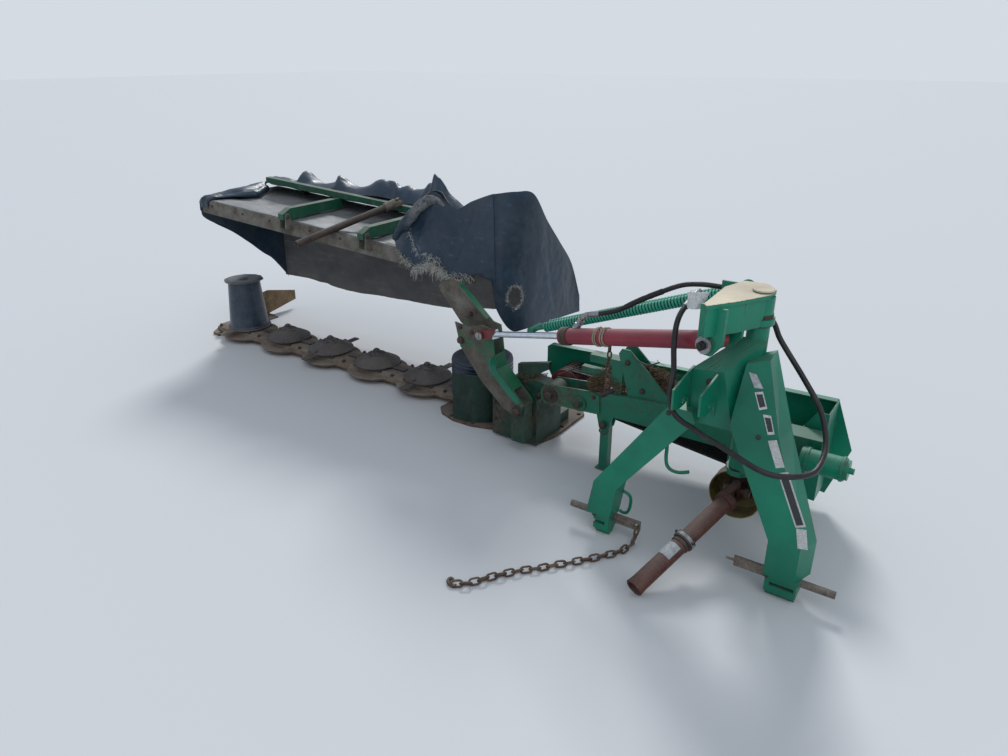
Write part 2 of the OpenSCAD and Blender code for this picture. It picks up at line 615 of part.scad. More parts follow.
// end cloth, cut slanting toward the front
module outer_curtain() place() color(black) in_shield() {
  rim = [[-4, -20], [0, -110], [90, -180], [200, -250], [330, -350], [450, -450], [540, -520], [shield_depth, -600]];
  cloth([for (t = [0, 0.1, 0.35, 0.65, 1]) [for (k = [0:7])
    [-shield_len - 9 * t * (1 + sin(k * 80)), rim[k][0], rim[k][1] * t]]], [-cloth_t, 0, 0]);
}

// loose cloth at the inner end, a panel along the front and one along the side
module inner_flap() place() color(black) {
  low = [[-1915, 494, 925], [-1870, 490, 848], [-1760, 484, 776], [-1645, 482, 826], [-1556, 482, 776.4],
    [-1484, 486, 776.4], [-1345, 552, 785], [-1310, 562, 640], [-1262, 622, 519], [-1212, 700, 516], [-1200, 860, 503],
    [-1200, 1015, 489], [-1200, 1125, 478], [-1200, 1234, 466]];
  high = [[-1905, 520, 960], [-1830, 600, 1080], [-1737, 620, 1171], [-1650, 610, 1130], [-1568, 600, 1109],
    [-1460, 572, 1160], [-1345, 560, 1204], [-1322, 590, 1208], [-1255, 655, 1215], [-1205, 734, 1198],
    [-1200, 859, 1048], [-1200, 990, 914], [-1200, 1125, 767], [-1200, 1228, 560]];
  cloth([for (i = [0:6]) [for (j = [0:13]) let (t = i / 6)
    low[j] + (high[j] - low[j]) * t + sin(180 * t) * [j > 7 ? 9 * sin(j * 110) : 0, j < 7 ? 9 + 9 * sin(j * 95) : 0, 0]]],
    [-0.62 * cloth_t, 0.76 * cloth_t, -0.18 * cloth_t]);
}

// front half of the shield folded back over the rear half
module front_frame() place() color(green) in_shield() {
  difference() {
    for (x = arm_x) end_plate([[-60, 14], [-20, 10], [430, 16], [430, 76], [0, 76], [-60, 48]], x, x + arm_w);
    pin_x(-32, 30, -shield_len, 0, 8.05);
  }
  difference() {
    box([-2050, 400, 76], [-620, 440, 112]);
    box([-2060, 404, 80], [-600, 436, 108]);
  }
}

// crumpled cloth lying behind the folded front tube
module front_curtain() place() color(black) in_shield() {
  x = [-2200, -2150, -2010, -1870, -1790, -1700, -1580, -1465, -1320, -1160, -990, -870, -780, -690, -565, -420];
  crest = [30, 40, 90, 12, 150, 106, 130, 165, 142, 195, 194, 188, 230, 293, 191, 60];
  near = [20, 24, 92, 90, 110, 95, 100, 112, 100, 118, 120, 110, 118, 130, 118, 70];
  cloth(concat(
    [[for (k = [0:15]) [x[k], 447, near[k]]]],
    [[for (k = [0:15]) [x[k], 505, (near[k] + crest[k]) / 2 + 18]]],
    [[for (k = [0:15]) [x[k], 560, crest[k]]]],
    [[for (k = [0:15]) [x[k], 590, 0.7 * crest[k] + 6]]],
    [[for (k = [0:15]) [x[k], 612, 0.35 * crest[k] + 8]]],
    [[for (k = [0:15]) [x[k], 626, cloth_t + 0.3]]]), [0, 0.3 * cloth_t, 0.95 * cloth_t]);
  cloth([[[-2200, 60, 4], [-2130, 50, 5], [-2064, 60, 4]], [[-2200, 200, 24], [-2130, 200, 40], [-2064, 200, 24]],
    [[-2200, 330, 14], [-2130, 330, 28], [-2064, 330, 18]], [[-2200, 444, 20], [-2130, 444, 28], [-2064, 444, 62]]],
    [0, 0, cloth_t]);
}

// inner half of the driveline, laid across the shield
module shaft_inner_half() place() color(rust) in_shield() along([-1064, -225, -42], [-842, 420, 143]) {
  rotate([0, 90, 0]) difference() {
    cylinder(h = 600, r = 20, $fn = 32);
    translate([0, 0, -1]) cylinder(h = 300, r = 14, $fn = 32);
  }
  translate([600, 0, 0]) rotate([0, 90, 0]) cylinder(h = 44, r = 24, $fn = 32);
}

// domed disc with two knives, the first under a drum and the last under a cone
module disc(i) {
  x = disc_first_x - i * disc_pitch;
  translate([x, disc_y, disc_z]) {
    rotate_extrude($fn = 64) polygon([[0, 0], [disc_r, 0], [disc_r, 6], [disc_r - 12, 12], [110, 24], [78, 40], [60, 48],
      [58, 54], [34, 56], [30, 62], [0, 62]]);
    rotate([0, 0, i % 2 * 90]) for (s = [-1, 1]) translate([0, 0, -5]) linear_extrude(height = 4.9)
      polygon([[s * (disc_r - 30), -s * 22], [s * (knife_reach - 12), -s * 25], [s * (knife_reach - 3), -s * 8],
        [s * (knife_reach - 6), s * 22], [s * (disc_r - 30), s * 22]]);
    if (i == 0) rotate_extrude($fn = 64) polygon(concat([[0, 8], [158, 8]],
      [for (k = [0:8]) each [[170, 14 + k * 22], [170, 24 + k * 22], [164, 28 + k * 22], [164, 32 + k * 22]]],
      [[166, 214], [150, 220], [60, 222], [0, 222]]));
    if (i == disc_count - 1) rotate_extrude($fn = 64) polygon([[0, 8], [136, 8], [136, 14], [128, 20], [104, 318],
      [124, 326], [124, 330], [98, 334], [0, 330]]);
  }
}
module disc_1() place() color(black) disc(0);
module disc_2() place() color(rust) disc(1);
module disc_3() place() color(rust) disc(2);
module disc_4() place() color(rust) disc(3);
module disc_5() place() color(rust) disc(4);
module disc_6() place() color(black) disc(5);

// square tube leg under the beam
module parking_stand() place() color(green) {
  difference() {
    box([stand_pin[0] - 21, beam_y + 8.3, 4], [stand_pin[0] + 21, beam_y + 50.3, 268]);
    box([stand_pin[0] - 17, beam_y + 12.3, 0], [stand_pin[0] + 17, beam_y + 46.3, 200]);
  }
  box([stand_pin[0] - 34, beam_y - 2, 4], [stand_pin[0] + 34, beam_y + 60, 10]);
  pin_y(stand_pin[0], stand_pin[1], beam_y - 12, beam_y + 70, 7.9);
}

module lift_hose() place() color(black) tube(hose_route, 10, 8);

headstock();
hitch_pins();
hitch_chain();
swing_head();
main_beam();
belt_guard();
shaft_guard();
pivot_tube();
drive_pulley();
driven_pulley();
drive_yoke();
shaft_outer_half();
cylinder_barrel();
cylinder_rod();
float_springs();
bar_hinge();
gearbox();
inner_shoe();
cutterbar();
outer_shoe();
lever();
shield_arm();
shield_frame();
shield_top();
rear_curtain();
outer_curtain();
inner_flap();
front_frame();
front_curtain();
shaft_inner_half();
disc_1();
disc_2();
disc_3();
disc_4();
disc_5();
disc_6();
parking_stand();
lift_hose();
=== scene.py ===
"""Visual model of the disc mower: finishes for the CAD nodes, and the soft and small pieces made here."""
import json
import math

import bmesh
import bpy
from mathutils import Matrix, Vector, noise


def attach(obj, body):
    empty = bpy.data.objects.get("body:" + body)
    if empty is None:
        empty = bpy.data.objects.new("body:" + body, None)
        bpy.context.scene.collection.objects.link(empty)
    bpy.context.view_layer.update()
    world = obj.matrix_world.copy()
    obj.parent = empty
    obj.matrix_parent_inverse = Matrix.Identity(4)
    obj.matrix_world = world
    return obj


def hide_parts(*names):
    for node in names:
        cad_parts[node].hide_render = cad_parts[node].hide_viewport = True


# noise_vector is seeded by the clock unless this is set, and the hay and torn threads use it
noise.seed_set(3)
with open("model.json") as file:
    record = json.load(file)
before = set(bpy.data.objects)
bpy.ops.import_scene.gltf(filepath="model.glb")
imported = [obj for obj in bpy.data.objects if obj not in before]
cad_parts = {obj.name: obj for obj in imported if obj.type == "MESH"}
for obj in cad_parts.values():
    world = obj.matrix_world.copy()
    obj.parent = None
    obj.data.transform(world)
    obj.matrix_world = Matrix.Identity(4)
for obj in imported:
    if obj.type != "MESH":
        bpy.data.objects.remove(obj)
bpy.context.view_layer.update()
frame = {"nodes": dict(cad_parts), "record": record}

# All places below are in metres in a frame whose origin is on the ground midway between the two hitch feet,
# +X toward the machine's left, -Y toward the tractor, +Z up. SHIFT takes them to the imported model's frame.
SHIFT = Vector((1.635, -0.345, 0.0))
X, Y, Z = Vector((1, 0, 0)), Vector((0, 1, 0)), Vector((0, 0, 1))
FRONT, BACK = Vector((0, -1, 0)), Y
# the shield's own tilted frame, as in the part's source
SHIELD_AT = Vector((-1.45, 0.58, 0.834))
SHIELD_TILT = math.radians(3.1)
SHIELD_LENGTH = 2.2
SHIELD_DEPTH = 0.63
# places shared by several pieces, from the part's source
BARREL_BASE = Vector((0.005, -0.005, 0.925))
ROD_EYE = Vector((-1.212, 0.314, 0.602))
SHAFT_CENTRE = Vector((0.092, 0.205, 0.25))
KING_PIN = Vector((0.098, 0.15, 0.0))
SPRING_NEAR = Vector((-0.06, 0.0, 0.976))
SPRING_FAR = Vector((-1.035, 0.0, 0.613))
SPRING_ROWS = (0.468, 0.52)
DISC_COUNT = 6
HOSE_R = 0.01
CLOTH_THICK = 0.0024
# camera, fitted to the photograph: height, heading and pitch come from the horizon and the hitch feet
CAMERA_AT = Vector((0.776, -2.421, 1.83))
CAMERA_PITCH = 23.3
CAMERA_HEADING = 34.35
FOCAL_PIXELS = 757.0
FRAME_WIDTH = 1008.0
SENSOR_WIDTH = 36.0


def in_shield(x, y, z):
    """A point given in the tilted frame of the shield, in the frame of the hitch."""
    c, s = math.cos(SHIELD_TILT), math.sin(SHIELD_TILT)
    return SHIELD_AT + Vector((x * c + z * s, y, z * c - x * s))


def disc_centre(i, z):
    return Vector((-1.5 - 0.4 * i, 0.7, z))


def linked(name, data):
    obj = bpy.data.objects.new(name, data)
    bpy.context.scene.collection.objects.link(obj)
    return obj


def make_camera():
    data = bpy.data.cameras.new("view_camera")
    data.sensor_width = SENSOR_WIDTH
    data.lens = FOCAL_PIXELS / FRAME_WIDTH * data.sensor_width
    camera = linked("view_camera", data)
    camera.location = CAMERA_AT + SHIFT
    camera.rotation_euler = (math.radians(90 - CAMERA_PITCH), 0, math.radians(CAMERA_HEADING))
    bpy.context.scene.camera = camera


class Nodes:
    """A short way to write one material's node tree."""

    def __init__(self, name):
        self.material = bpy.data.materials.new(name)
        self.material.use_nodes = True
        self.tree = self.material.node_tree
        self.shader = self.tree.nodes["Principled BSDF"]
        self.place = self.add("ShaderNodeTexCoord").outputs["Object"]

    def add(self, kind, **settings):
        node = self.tree.nodes.new(kind)
        for key, value in settings.items():
            setattr(node, key, value)
        return node

    def put(self, node, key, value):
        """Link or set one input; a number fills a vector, and a colour of three gets its alpha."""
        socket = node.inputs[key]
        if isinstance(value, bpy.types.NodeSocket):
            self.tree.links.new(value, socket)
        elif hasattr(socket.default_value, "__len__") and not hasattr(value, "__len__"):
            socket.default_value = [value] * len(socket.default_value)
        elif hasattr(socket.default_value, "__len__") and len(socket.default_value) == 4 and len(value) == 3:
            socket.default_value = (*value, 1.0)
        else:
            socket.default_value = value

    def made(self, kind, inputs, output, **settings):
        """Output socket of a new node with its inputs put in."""
        node = self.add(kind, **settings)
        for key, value in inputs.items():
            self.put(node, key, value)
        return node.outputs[output]

    def noise(self, scale, detail=4.0, rough=0.55, stretch=None):
        place = self.place
        if stretch:
            place = self.made("ShaderNodeMapping", {"Vector": place, "Scale": stretch}, "Vector")
        inputs = {"Vector": place, "Scale": scale, "Detail": detail, "Roughness": rough}
        return self.made("ShaderNodeTexNoise", inputs, "Fac")

    def ramp(self, value, low, high, a=0.0, b=1.0):
        """a to b as the value goes from low to high."""
        inputs = {"Value": value, "From Min": low, "From Max": high, "To Min": a, "To Max": b}
        return self.made("ShaderNodeMapRange", inputs, "Result", clamp=True)

    def cloud(self, scale, low, high, detail=4.0, rough=0.55, top=1.0, bottom=0.0, stretch=None):
        """Noise whose values from low to high run from bottom to top."""
        return self.ramp(self.noise(scale, detail, rough, stretch), low, high, bottom, top)

    def along(self, index, low, high, source=None):
        """0 to 1 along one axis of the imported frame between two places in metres, or along that part of source."""
        return self.ramp(self.made("ShaderNodeSeparateXYZ", {0: source or self.place}, index), low, high)

    def upward(self, low=0.2, high=0.95):
        return self.along(2, low, high, self.add("ShaderNodeNewGeometry").outputs["Normal"])

    def facing(self, index, low, high):
        """0 to 1 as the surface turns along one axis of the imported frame, however the piece is posed."""
        return self.along(index, low, high, self.add("ShaderNodeTexCoord").outputs["Normal"])

    def edge(self, radius=0.006):
        """About 1 near sharp edges and 0 on flats."""
        round_normal = self.made("ShaderNodeBevel", {"Radius": radius}, "Normal", samples=4)
        flat_normal = self.add("ShaderNodeNewGeometry").outputs["Normal"]
        normals = {0: round_normal, 1: flat_normal}
        agreement = self.made("ShaderNodeVectorMath", normals, "Value", operation="DOT_PRODUCT")
        return self.ramp(agreement, 0.99, 0.8)

    def math(self, kind, a, b):
        return self.made("ShaderNodeMath", {0: a, 1: b}, "Value", operation=kind)

    def times(self, a, b):
        return self.math("MULTIPLY", a, b)

    def most(self, first, *others):
        for other in others:
            first = self.math("MAXIMUM", first, other)
        return first

    def mix(self, amount, a, b):
        return self.made("ShaderNodeMix", {0: amount, 6: a, 7: b}, 2, data_type="RGBA")

    def blend(self, amount, a, b):
        """mix for plain numbers."""
        return self.made("ShaderNodeMix", {0: amount, 2: a, 3: b}, 0, data_type="FLOAT")

    def bump(self, height, distance):
        return self.made("ShaderNodeBump", {"Height": height, "Distance": distance, "Strength": 1.0}, "Normal")

    def finish(self, colour, rough, normal=None, metallic=0.0):
        inputs = {"Base Color": colour, "Roughness": rough, "Metallic": metallic, "Specular IOR Level": 0.4}
        if normal:
            inputs["Normal"] = normal
        for key, value in inputs.items():
            self.put(self.shader, key, value)
        return self.material


DUST = (0.25, 0.238, 0.212)
BROWN_DARK = (0.055, 0.028, 0.018)
BROWN = (0.19, 0.09, 0.048)
SLATE_DARK, SLATE = (0.012, 0.024, 0.04), (0.024, 0.05, 0.084)
# pale patches on the slate canvas: partly bleaching, partly a painted highlight
SCUFF_AND_HIGHLIGHT_SLATE = (0.08, 0.13, 0.19)


def scaled(colour, factor, extra=0.0):
    return [min(1.0, c * factor + extra) for c in colour]


def painted(name, colour, dust, rust, gloss, caked=None):
    """Weathered paint: faded patches, chips with rust at the edges and dust on what faces up.

    caked = (low, high) turns the finish to dry mud toward low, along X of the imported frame."""
    n = Nodes(name)
    paint = n.mix(n.cloud(3.1, 0.35, 0.7), scaled(colour, 0.74), scaled(colour, 1.25, 0.003))
    chips = n.times(n.edge(), n.cloud(42.0, 0.53 - 0.1 * rust, 0.63 - 0.1 * rust, 6))
    spots = n.times(n.cloud(4.0, 0.55, 0.68, 3), n.cloud(75.0, 0.57, 0.63, 8))
    worn = n.most(chips, n.times(spots, rust))
    paint = n.mix(worn, paint, n.mix(n.noise(90.0), BROWN_DARK, BROWN))
    streaks = n.cloud(18.0, 0.55, 0.8, 6, 0.6, dust * 0.5, stretch=(1.0, 1.0, 0.12))
    dusty = n.times(n.upward(), n.cloud(9.0, 0.3, 0.75, 6, top=dust * 1.7, bottom=0.15))
    grime = n.cloud(13.0, 0.52, 0.85, 8, 0.7, dust * 0.55)
    dirt = n.most(dusty, grime, streaks)
    final = n.mix(dirt, paint, DUST)
    if caked:
        where = n.math("SUBTRACT", 1.0, n.along(0, *caked))
        clods = n.times(n.ramp(n.math("ADD", n.noise(8.0, 8, 0.7), n.times(where, 0.22)), 0.6, 0.76), where)
        mud = n.mix(n.cloud(40.0, 0.35, 0.7, 8, 0.7), (0.045, 0.034, 0.025), (0.14, 0.112, 0.085))
        final = n.mix(clods, final, mud)
        dirt = n.most(dirt, clods)
    rough = n.ramp(n.most(worn, dirt), 0.0, 0.5, gloss, 0.85)
    return n.finish(final, rough, n.bump(n.math("SUBTRACT", n.times(n.noise(220.0, 2), 0.15), worn), 0.0006))


def rusty(name, light, dark, dust=0.35, rough=0.8, metallic=0.25):
    """Bare iron gone brown, with dry dust on what faces up."""
    n = Nodes(name)
    base = n.mix(n.cloud(22.0, 0.3, 0.72, 8, 0.65), dark, light)
    fine = n.mix(n.cloud(150.0, 0.45, 0.7, 6, top=0.6), base, scaled(light, 1.5))
    dusty = n.times(n.upward(), n.cloud(7.0, 0.3, 0.7, 6, top=dust * 1.7, bottom=0.1))
    return n.finish(n.mix(dusty, fine, DUST), n.ramp(dusty, 0, 0.5, rough, 0.95),
                    n.bump(n.noise(120.0, 8, 0.7), 0.0012), metallic)


def coated_cloth(name, dark, light, dust, scuff_and_highlight, weave=900.0):
    """Rubber-coated canvas: pale patches that are partly bleaching and partly painted highlight, dusty in patches,
    with a fine weave in the bump.
    """
    n = Nodes(name)
    base = n.mix(n.cloud(2.3, 0.35, 0.7, 6, 0.6), dark, light)
    base = n.mix(n.cloud(30.0, 0.56, 0.74, 8, 0.75, 0.5, stretch=(0.35, 1.0, 1.0)), base, scuff_and_highlight)
    dusty = n.most(n.cloud(6.0, 0.42, 0.8, 8, 0.7, dust * 1.5),
                   n.times(n.upward(0.5, 1.0), n.cloud(15.0, 0.4, 0.8, 6, top=dust)))
    height = n.math("ADD", n.times(n.noise(weave, 2, 0.5), 0.3), n.noise(45.0, 6, 0.6))
    return n.finish(n.mix(dusty, base, DUST), n.ramp(dusty, 0.0, 0.5, 0.38, 0.8), n.bump(height, 0.0008))


def stained_canvas(name):
    """Curtain: road dust, damp marks and pale scuffs on the inside, plain slate canvas on the outside."""
    n = Nodes(name)
    colour = n.mix(n.cloud(3.0, 0.35, 0.7, 8, 0.6, stretch=(0.5, 1, 1)), (0.065, 0.066, 0.071), (0.17, 0.162, 0.155))
    colour = n.mix(n.cloud(11.0, 0.55, 0.78, 8, 0.75, 0.6, stretch=(0.3, 1, 1.6)), colour, (0.3, 0.285, 0.265))
    colour = n.mix(n.cloud(240.0, 0.4, 0.7, top=0.35), colour, (0.15, 0.14, 0.13))
    slate = n.mix(n.cloud(2.3, 0.35, 0.7, 6, 0.6), SLATE_DARK, SLATE)
    # pale patches on the outer side: partly bleaching, partly a painted highlight
    slate = n.mix(n.cloud(30.0, 0.56, 0.74, 8, 0.75, 0.5), slate, SCUFF_AND_HIGHLIGHT_SLATE)
    return n.finish(n.mix(n.facing(1, -0.1, 0.1), colour, slate), 0.88,
                    n.bump(n.math("ADD", n.noise(700.0, 2), n.noise(60.0, 6)), 0.001))


def curled_canvas(name):
    """Slate canvas that shows its pale fuzzy back where the roll opens, toward its inner end."""
    n = Nodes(name)
    back = n.ramp(n.math("ADD", n.along(0, -0.26, -0.12), n.times(n.noise(14.0, 8, 0.7), 0.9)), 0.75, 1.05)
    slate = n.mix(n.cloud(3.0, 0.35, 0.7, 6, 0.6), SLATE_DARK, (0.03, 0.055, 0.085))
    fuzz = n.mix(n.cloud(26.0, 0.35, 0.68, 8, 0.75), (0.05, 0.057, 0.064), (0.3, 0.31, 0.31))
    height = n.math("ADD", n.noise(500.0, 2), n.times(n.noise(60.0, 8, 0.75), 2.0))
    return n.finish(n.mix(back, slate, fuzz), n.ramp(back, 0, 1, 0.4, 0.95), n.bump(height, 0.0025))


def layered(name, low_look, high_look, height, blur=0.004):
    """Two looks on one CAD node, parted at a height: each is (colour, dark, dust, rough)."""
    n = Nodes(name)
    looks = []
    for light, dark, dust, rough in (low_look, high_look):
        base = n.mix(n.cloud(14.0, 0.32, 0.7, 8, 0.65), dark, light)
        fine = n.mix(n.cloud(130.0, 0.5, 0.72, 6, top=0.5), base, scaled(light, 1.6))
        dusty = n.times(n.upward(), n.cloud(8.0, 0.3, 0.7, 6, top=dust * 1.6, bottom=0.1))
        dirt = n.most(dusty, n.cloud(10.0, 0.5, 0.8, 8, 0.7, dust * 0.8, stretch=(1, 1, 0.3)))
        looks.append((n.mix(dirt, fine, DUST), n.ramp(dirt, 0, 0.5, rough, 0.9)))
    split = n.along(2, height - blur, height + blur)
    (low_colour, low_rough), (high_colour, high_rough) = looks
    return n.finish(n.mix(split, low_colour, high_colour), n.blend(split, low_rough, high_rough),
                    n.bump(n.noise(90.0, 8, 0.7), 0.001))


def dusty_green(name, dust, green_share, clean_side=False):
    """Green paint under a thick coat of dry dust; the edges keep more green, and so does a clean side toward +X."""
    n = Nodes(name)
    green = n.mix(n.cloud(4.0, 0.35, 0.7), (0.008, 0.1, 0.045), (0.02, 0.17, 0.08))
    earth = n.mix(n.cloud(12.0, 0.35, 0.7, 8, 0.65), (0.075, 0.06, 0.046), dust)
    bare = n.cloud(5.0, 0.62 - 0.3 * green_share, 0.74 - 0.3 * green_share, 8, 0.7)
    if clean_side:
        bare = n.most(bare, n.times(n.facing(0, 0.25, 0.5), n.cloud(9.0, 0.3, 0.45, 6)))
    colour = n.mix(bare, earth, green)
    colour = n.mix(n.times(n.edge(0.005), 0.7), colour, (0.03, 0.16, 0.08))
    colour = n.mix(n.cloud(160.0, 0.6, 0.72, 6, top=0.4), colour, (0.3, 0.27, 0.22))
    return n.finish(colour, n.ramp(bare, 0, 1, 0.9, 0.45), n.bump(n.noise(70.0, 8, 0.7), 0.0012))


def plain(name, colour, rough, metallic=0.0, dirt=0.35, fine=140.0):
    """Small fittings: a base colour with grime in patches and a fine grain."""
    n = Nodes(name)
    shade = n.mix(n.cloud(fine, 0.35, 0.7, 6), scaled(colour, 0.72), scaled(colour, 1.15))
    grime = n.cloud(35.0, 0.5, 0.75, 8, 0.7, dirt)
    return n.finish(n.mix(grime, shade, (0.1, 0.082, 0.065)), n.ramp(grime, 0, 0.4, rough, min(1.0, rough + 0.3)),
                    n.bump(n.noise(fine * 2, 4), 0.0003), metallic)


def chromed_rod(name):
    """Bright rod whose clevis end is painted red and worn to brown iron."""
    n = Nodes(name)
    bright = n.along(0, 0.505, 0.507)
    scratch = n.cloud(60.0, 0.45, 0.75, 4, 0.6, 0.2, 0.08, (0.1, 1, 1))
    red = n.mix(n.cloud(45.0, 0.45, 0.6, 8, 0.7), (0.2, 0.03, 0.034), (0.085, 0.05, 0.038))
    metal = n.mix(n.cloud(25.0, 0.4, 0.7), (0.62, 0.68, 0.74), (0.8, 0.84, 0.88))
    return n.finish(n.mix(bright, red, metal), n.blend(bright, 0.6, scratch), None, bright)


make_camera()
GREEN = painted("green_paint", (0.001, 0.19, 0.108), dust=0.1, rust=0.5, gloss=0.34)
BEAM = painted("beam_paint", (0.002, 0.14, 0.078), dust=0.2, rust=0.6, gloss=0.38, caked=(0.66, 1.25))
GEAR = painted("gearbox_paint", (0.003, 0.04, 0.024), dust=0.3, rust=0.9, gloss=0.45, caked=(0.1, 1.5))
FRAME = painted("shield_paint", (0.005, 0.08, 0.042), dust=0.5, rust=0.6, gloss=0.5)
# a lighter copy of the green paint for the spring coils: painted sunlight on the coil tops
SUNLIT_SPRING_GREEN = painted("sunlit_spring_paint", (0.02, 0.3, 0.2), dust=0.15, rust=0.2, gloss=0.32)
RED = painted("red_paint", (0.27, 0.022, 0.042), dust=0.25, rust=0.25, gloss=0.3)
PULLEY = painted("pulley_paint", (0.17, 0.035, 0.033), dust=0.5, rust=0.8, gloss=0.5)
TAN = painted("dusty_cap", (0.66, 0.57, 0.42), dust=0.2, rust=0.35, gloss=0.8)
RUST = rusty("rusty_steel", (0.15, 0.085, 0.055), (0.04, 0.026, 0.02))
TUBE = rusty("tube_rust", (0.14, 0.05, 0.036), (0.05, 0.02, 0.017), 0.3, 0.75, 0.1)
SOLE = rusty("sole_rust", (0.22, 0.15, 0.1), (0.06, 0.044, 0.033), 0.5, 0.85, 0.1)
DISC = rusty("disc_iron", (0.115, 0.098, 0.098), (0.036, 0.031, 0.033), 0.3, 0.5, 0.4)
WORN = rusty("worn_iron", (0.24, 0.2, 0.165), (0.07, 0.055, 0.045), 0.4, 0.55, 0.45)
IRON = rusty("dark_iron", (0.085, 0.06, 0.047), (0.024, 0.019, 0.017), 0.3, 0.65, 0.3)
CANVAS = coated_cloth("canvas", SLATE_DARK, SLATE, 0.07, SCUFF_AND_HIGHLIGHT_SLATE)
# canvas on the shield's top, much paler than the rest: partly dust, partly a painted sunlit highlight
DUSTY_SUNLIT_TOP_CANVAS = coated_cloth("top_canvas_dust_and_highlight", (0.08, 0.088, 0.096), (0.3, 0.31, 0.32), 0.5, (0.48, 0.49, 0.5))
HOSE = coated_cloth("hose_rubber", (0.007, 0.007, 0.008), (0.014, 0.014, 0.015), 0.14, (0.04, 0.038, 0.036), 1400.0)
INNER_CANVAS = stained_canvas("inner_canvas")
UNDERSIDE = curled_canvas("canvas_back")
TAPE = plain("tape", (0.012, 0.012, 0.013), 0.35, 0.0, 0.2)
BELT = plain("belt_rubber", (0.014, 0.014, 0.014), 0.7, 0.0, 0.5)
ZINC = plain("zinc", (0.36, 0.37, 0.38), 0.42, 0.8, 0.5)
STRING = plain("string", (0.32, 0.28, 0.2), 0.9, 0.0, 0.6)
WHITE = plain("white_film", (0.62, 0.63, 0.62), 0.45, 0.0, 0.3)
LABEL = plain("worn_label", (0.45, 0.47, 0.49), 0.5, 0.0, 0.6, 60.0)
# dark fields of the blank plates, and painted shade inside the spring coils
DARK_FIELD_AND_SHADE = plain("dark_field_and_coil_shade", (0.045, 0.05, 0.052), 0.55, 0.0, 0.5)
STRAW = plain("dry_grass", (0.16, 0.108, 0.064), 0.9, 0.0, 0.6, 30.0)
FIBRE = plain("torn_threads", (0.47, 0.46, 0.42), 0.95, 0.0, 0.35, 60.0)
GUARD = layered("guard_plastic", ((0.4, 0.28, 0.06), (0.12, 0.085, 0.03), 0.5, 0.5),
                ((0.1, 0.075, 0.04), (0.022, 0.018, 0.014), 0.3, 0.5), 0.25, 0.09)
SHOE = layered("inner_shoe", ((0.16, 0.1, 0.065), (0.05, 0.033, 0.024), 0.4, 0.85),
               ((0.008, 0.042, 0.026), (0.007, 0.016, 0.013), 0.35, 0.45), 0.018)
DRUM = layered("drum", ((0.16, 0.12, 0.1), (0.05, 0.038, 0.034), 0.4, 0.6),
               ((0.04, 0.06, 0.09), (0.016, 0.025, 0.04), 0.15, 0.28), 0.091)
BOARD = layered("outer_board", ((0.16, 0.1, 0.065), (0.05, 0.033, 0.024), 0.4, 0.85),
                ((0.3, 0.2, 0.1), (0.12, 0.08, 0.045), 0.3, 0.8), 0.02)
RAIL = dusty_green("dusty_rail", (0.2, 0.185, 0.165), 0.1)
ARM = dusty_green("dusty_arm", (0.19, 0.175, 0.155), 0.2, True)
LEVER = dusty_green("dusty_lever", (0.15, 0.135, 0.115), 0.35, True)
CHROME = chromed_rod("chrome_rod")

# finishes of the carried-over CAD nodes: by slot, or a node's own where it wears differently
FINISH = {"green_paint": GREEN, "rusty_steel": RUST, "disc_iron": DISC, "red_paint": RED, "pulley_iron": PULLEY,
          "canvas": CANVAS, "chrome_rod": CHROME, "hose_rubber": HOSE, "guard_plastic": GUARD}
OWN_FINISH = {"main_beam": BEAM, "bar_hinge": GEAR, "gearbox": GEAR, "parking_stand": BEAM, "front_frame": FRAME,
              "inner_shoe": SHOE, "disc_1": DRUM, "disc_6": DRUM, "outer_shoe": BOARD, "shield_frame": RAIL,
              "shield_arm": ARM, "lever": LEVER, "cutterbar": SOLE, "shaft_outer_half": TUBE, "hitch_pins": WORN,
              "shaft_inner_half": IRON}
SLOT_OF = {s["node"]: s["material_slot"] for s in frame["record"]["subparts"]}


def dress_nodes():
    for name, node in frame["nodes"].items():
        material = OWN_FINISH.get(name, FINISH[SLOT_OF[name]])
        if not node.data.materials:
            node.data.materials.append(material)
        for index in range(len(node.data.materials)):
            node.data.materials[index] = material


def turns(count, start=0.0):
    """Angles at even steps round a full turn."""
    return [start + 2 * math.pi * i / count for i in range(count)]


def toward(u, v, angle):
    return u * math.cos(angle) + v * math.sin(angle)


def polar(radius, angle, z=0.0):
    return Vector((math.cos(angle) * radius, math.sin(angle) * radius, z))


def square_to(axis):
    u = axis.orthogonal().normalized()
    return u, axis.cross(u)


def upright_to(axis):
    """Like square_to, with the first direction as near to straight up as it goes."""
    u = (Z - axis * axis.z).normalized()
    return u, axis.cross(u)


def circle(centre, u, v, radius, count):
    return [centre + toward(u, v, t) * radius for t in turns(count)]


def heading(points, i, closed=False):
    """Direction of a line of points at one of them."""
    last = len(points) - 1
    if closed:
        return (points[(i + 1) % (last + 1)] - points[i - 1]).normalized()
    return (points[min(i + 1, last)] - points[max(i - 1, 0)]).normalized()


def on_curve(points, i, t):
    """Catmull-Rom point at share t between points[i] and the next."""
    a, b, c, d = points[max(i - 1, 0)], points[i], points[i + 1], points[min(i + 2, len(points) - 1)]
    return 0.5 * (2 * b + (c - a) * t + (2 * a - 5 * b + 4 * c - d) * t * t + (3 * b - a - 3 * c + d) * t ** 3)


def smooth_path(points, steps):
    """Curve through points, with steps between each two."""
    points = [Vector(p) for p in points]
    return [on_curve(points, i, k / steps) for i in range(len(points) - 1) for k in range(steps)] + [points[-1]]


def resampled(points, count):
    """count + 1 points at even steps of a curve's own parameter."""
    last = len(points) - 1
    out = []
    for k in range(count + 1):
        s = k / count * last
        i = min(int(s), last - 1)
        out.append(on_curve(points, i, s - i))
    return out


def show(name, mesh, material, body, replaces):
    """Object of a finished mesh on its body."""
    mesh.materials.append(material)
    obj = linked(name, mesh)
    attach(obj, body)
    if replaces:
        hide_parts(*replaces)
    return obj


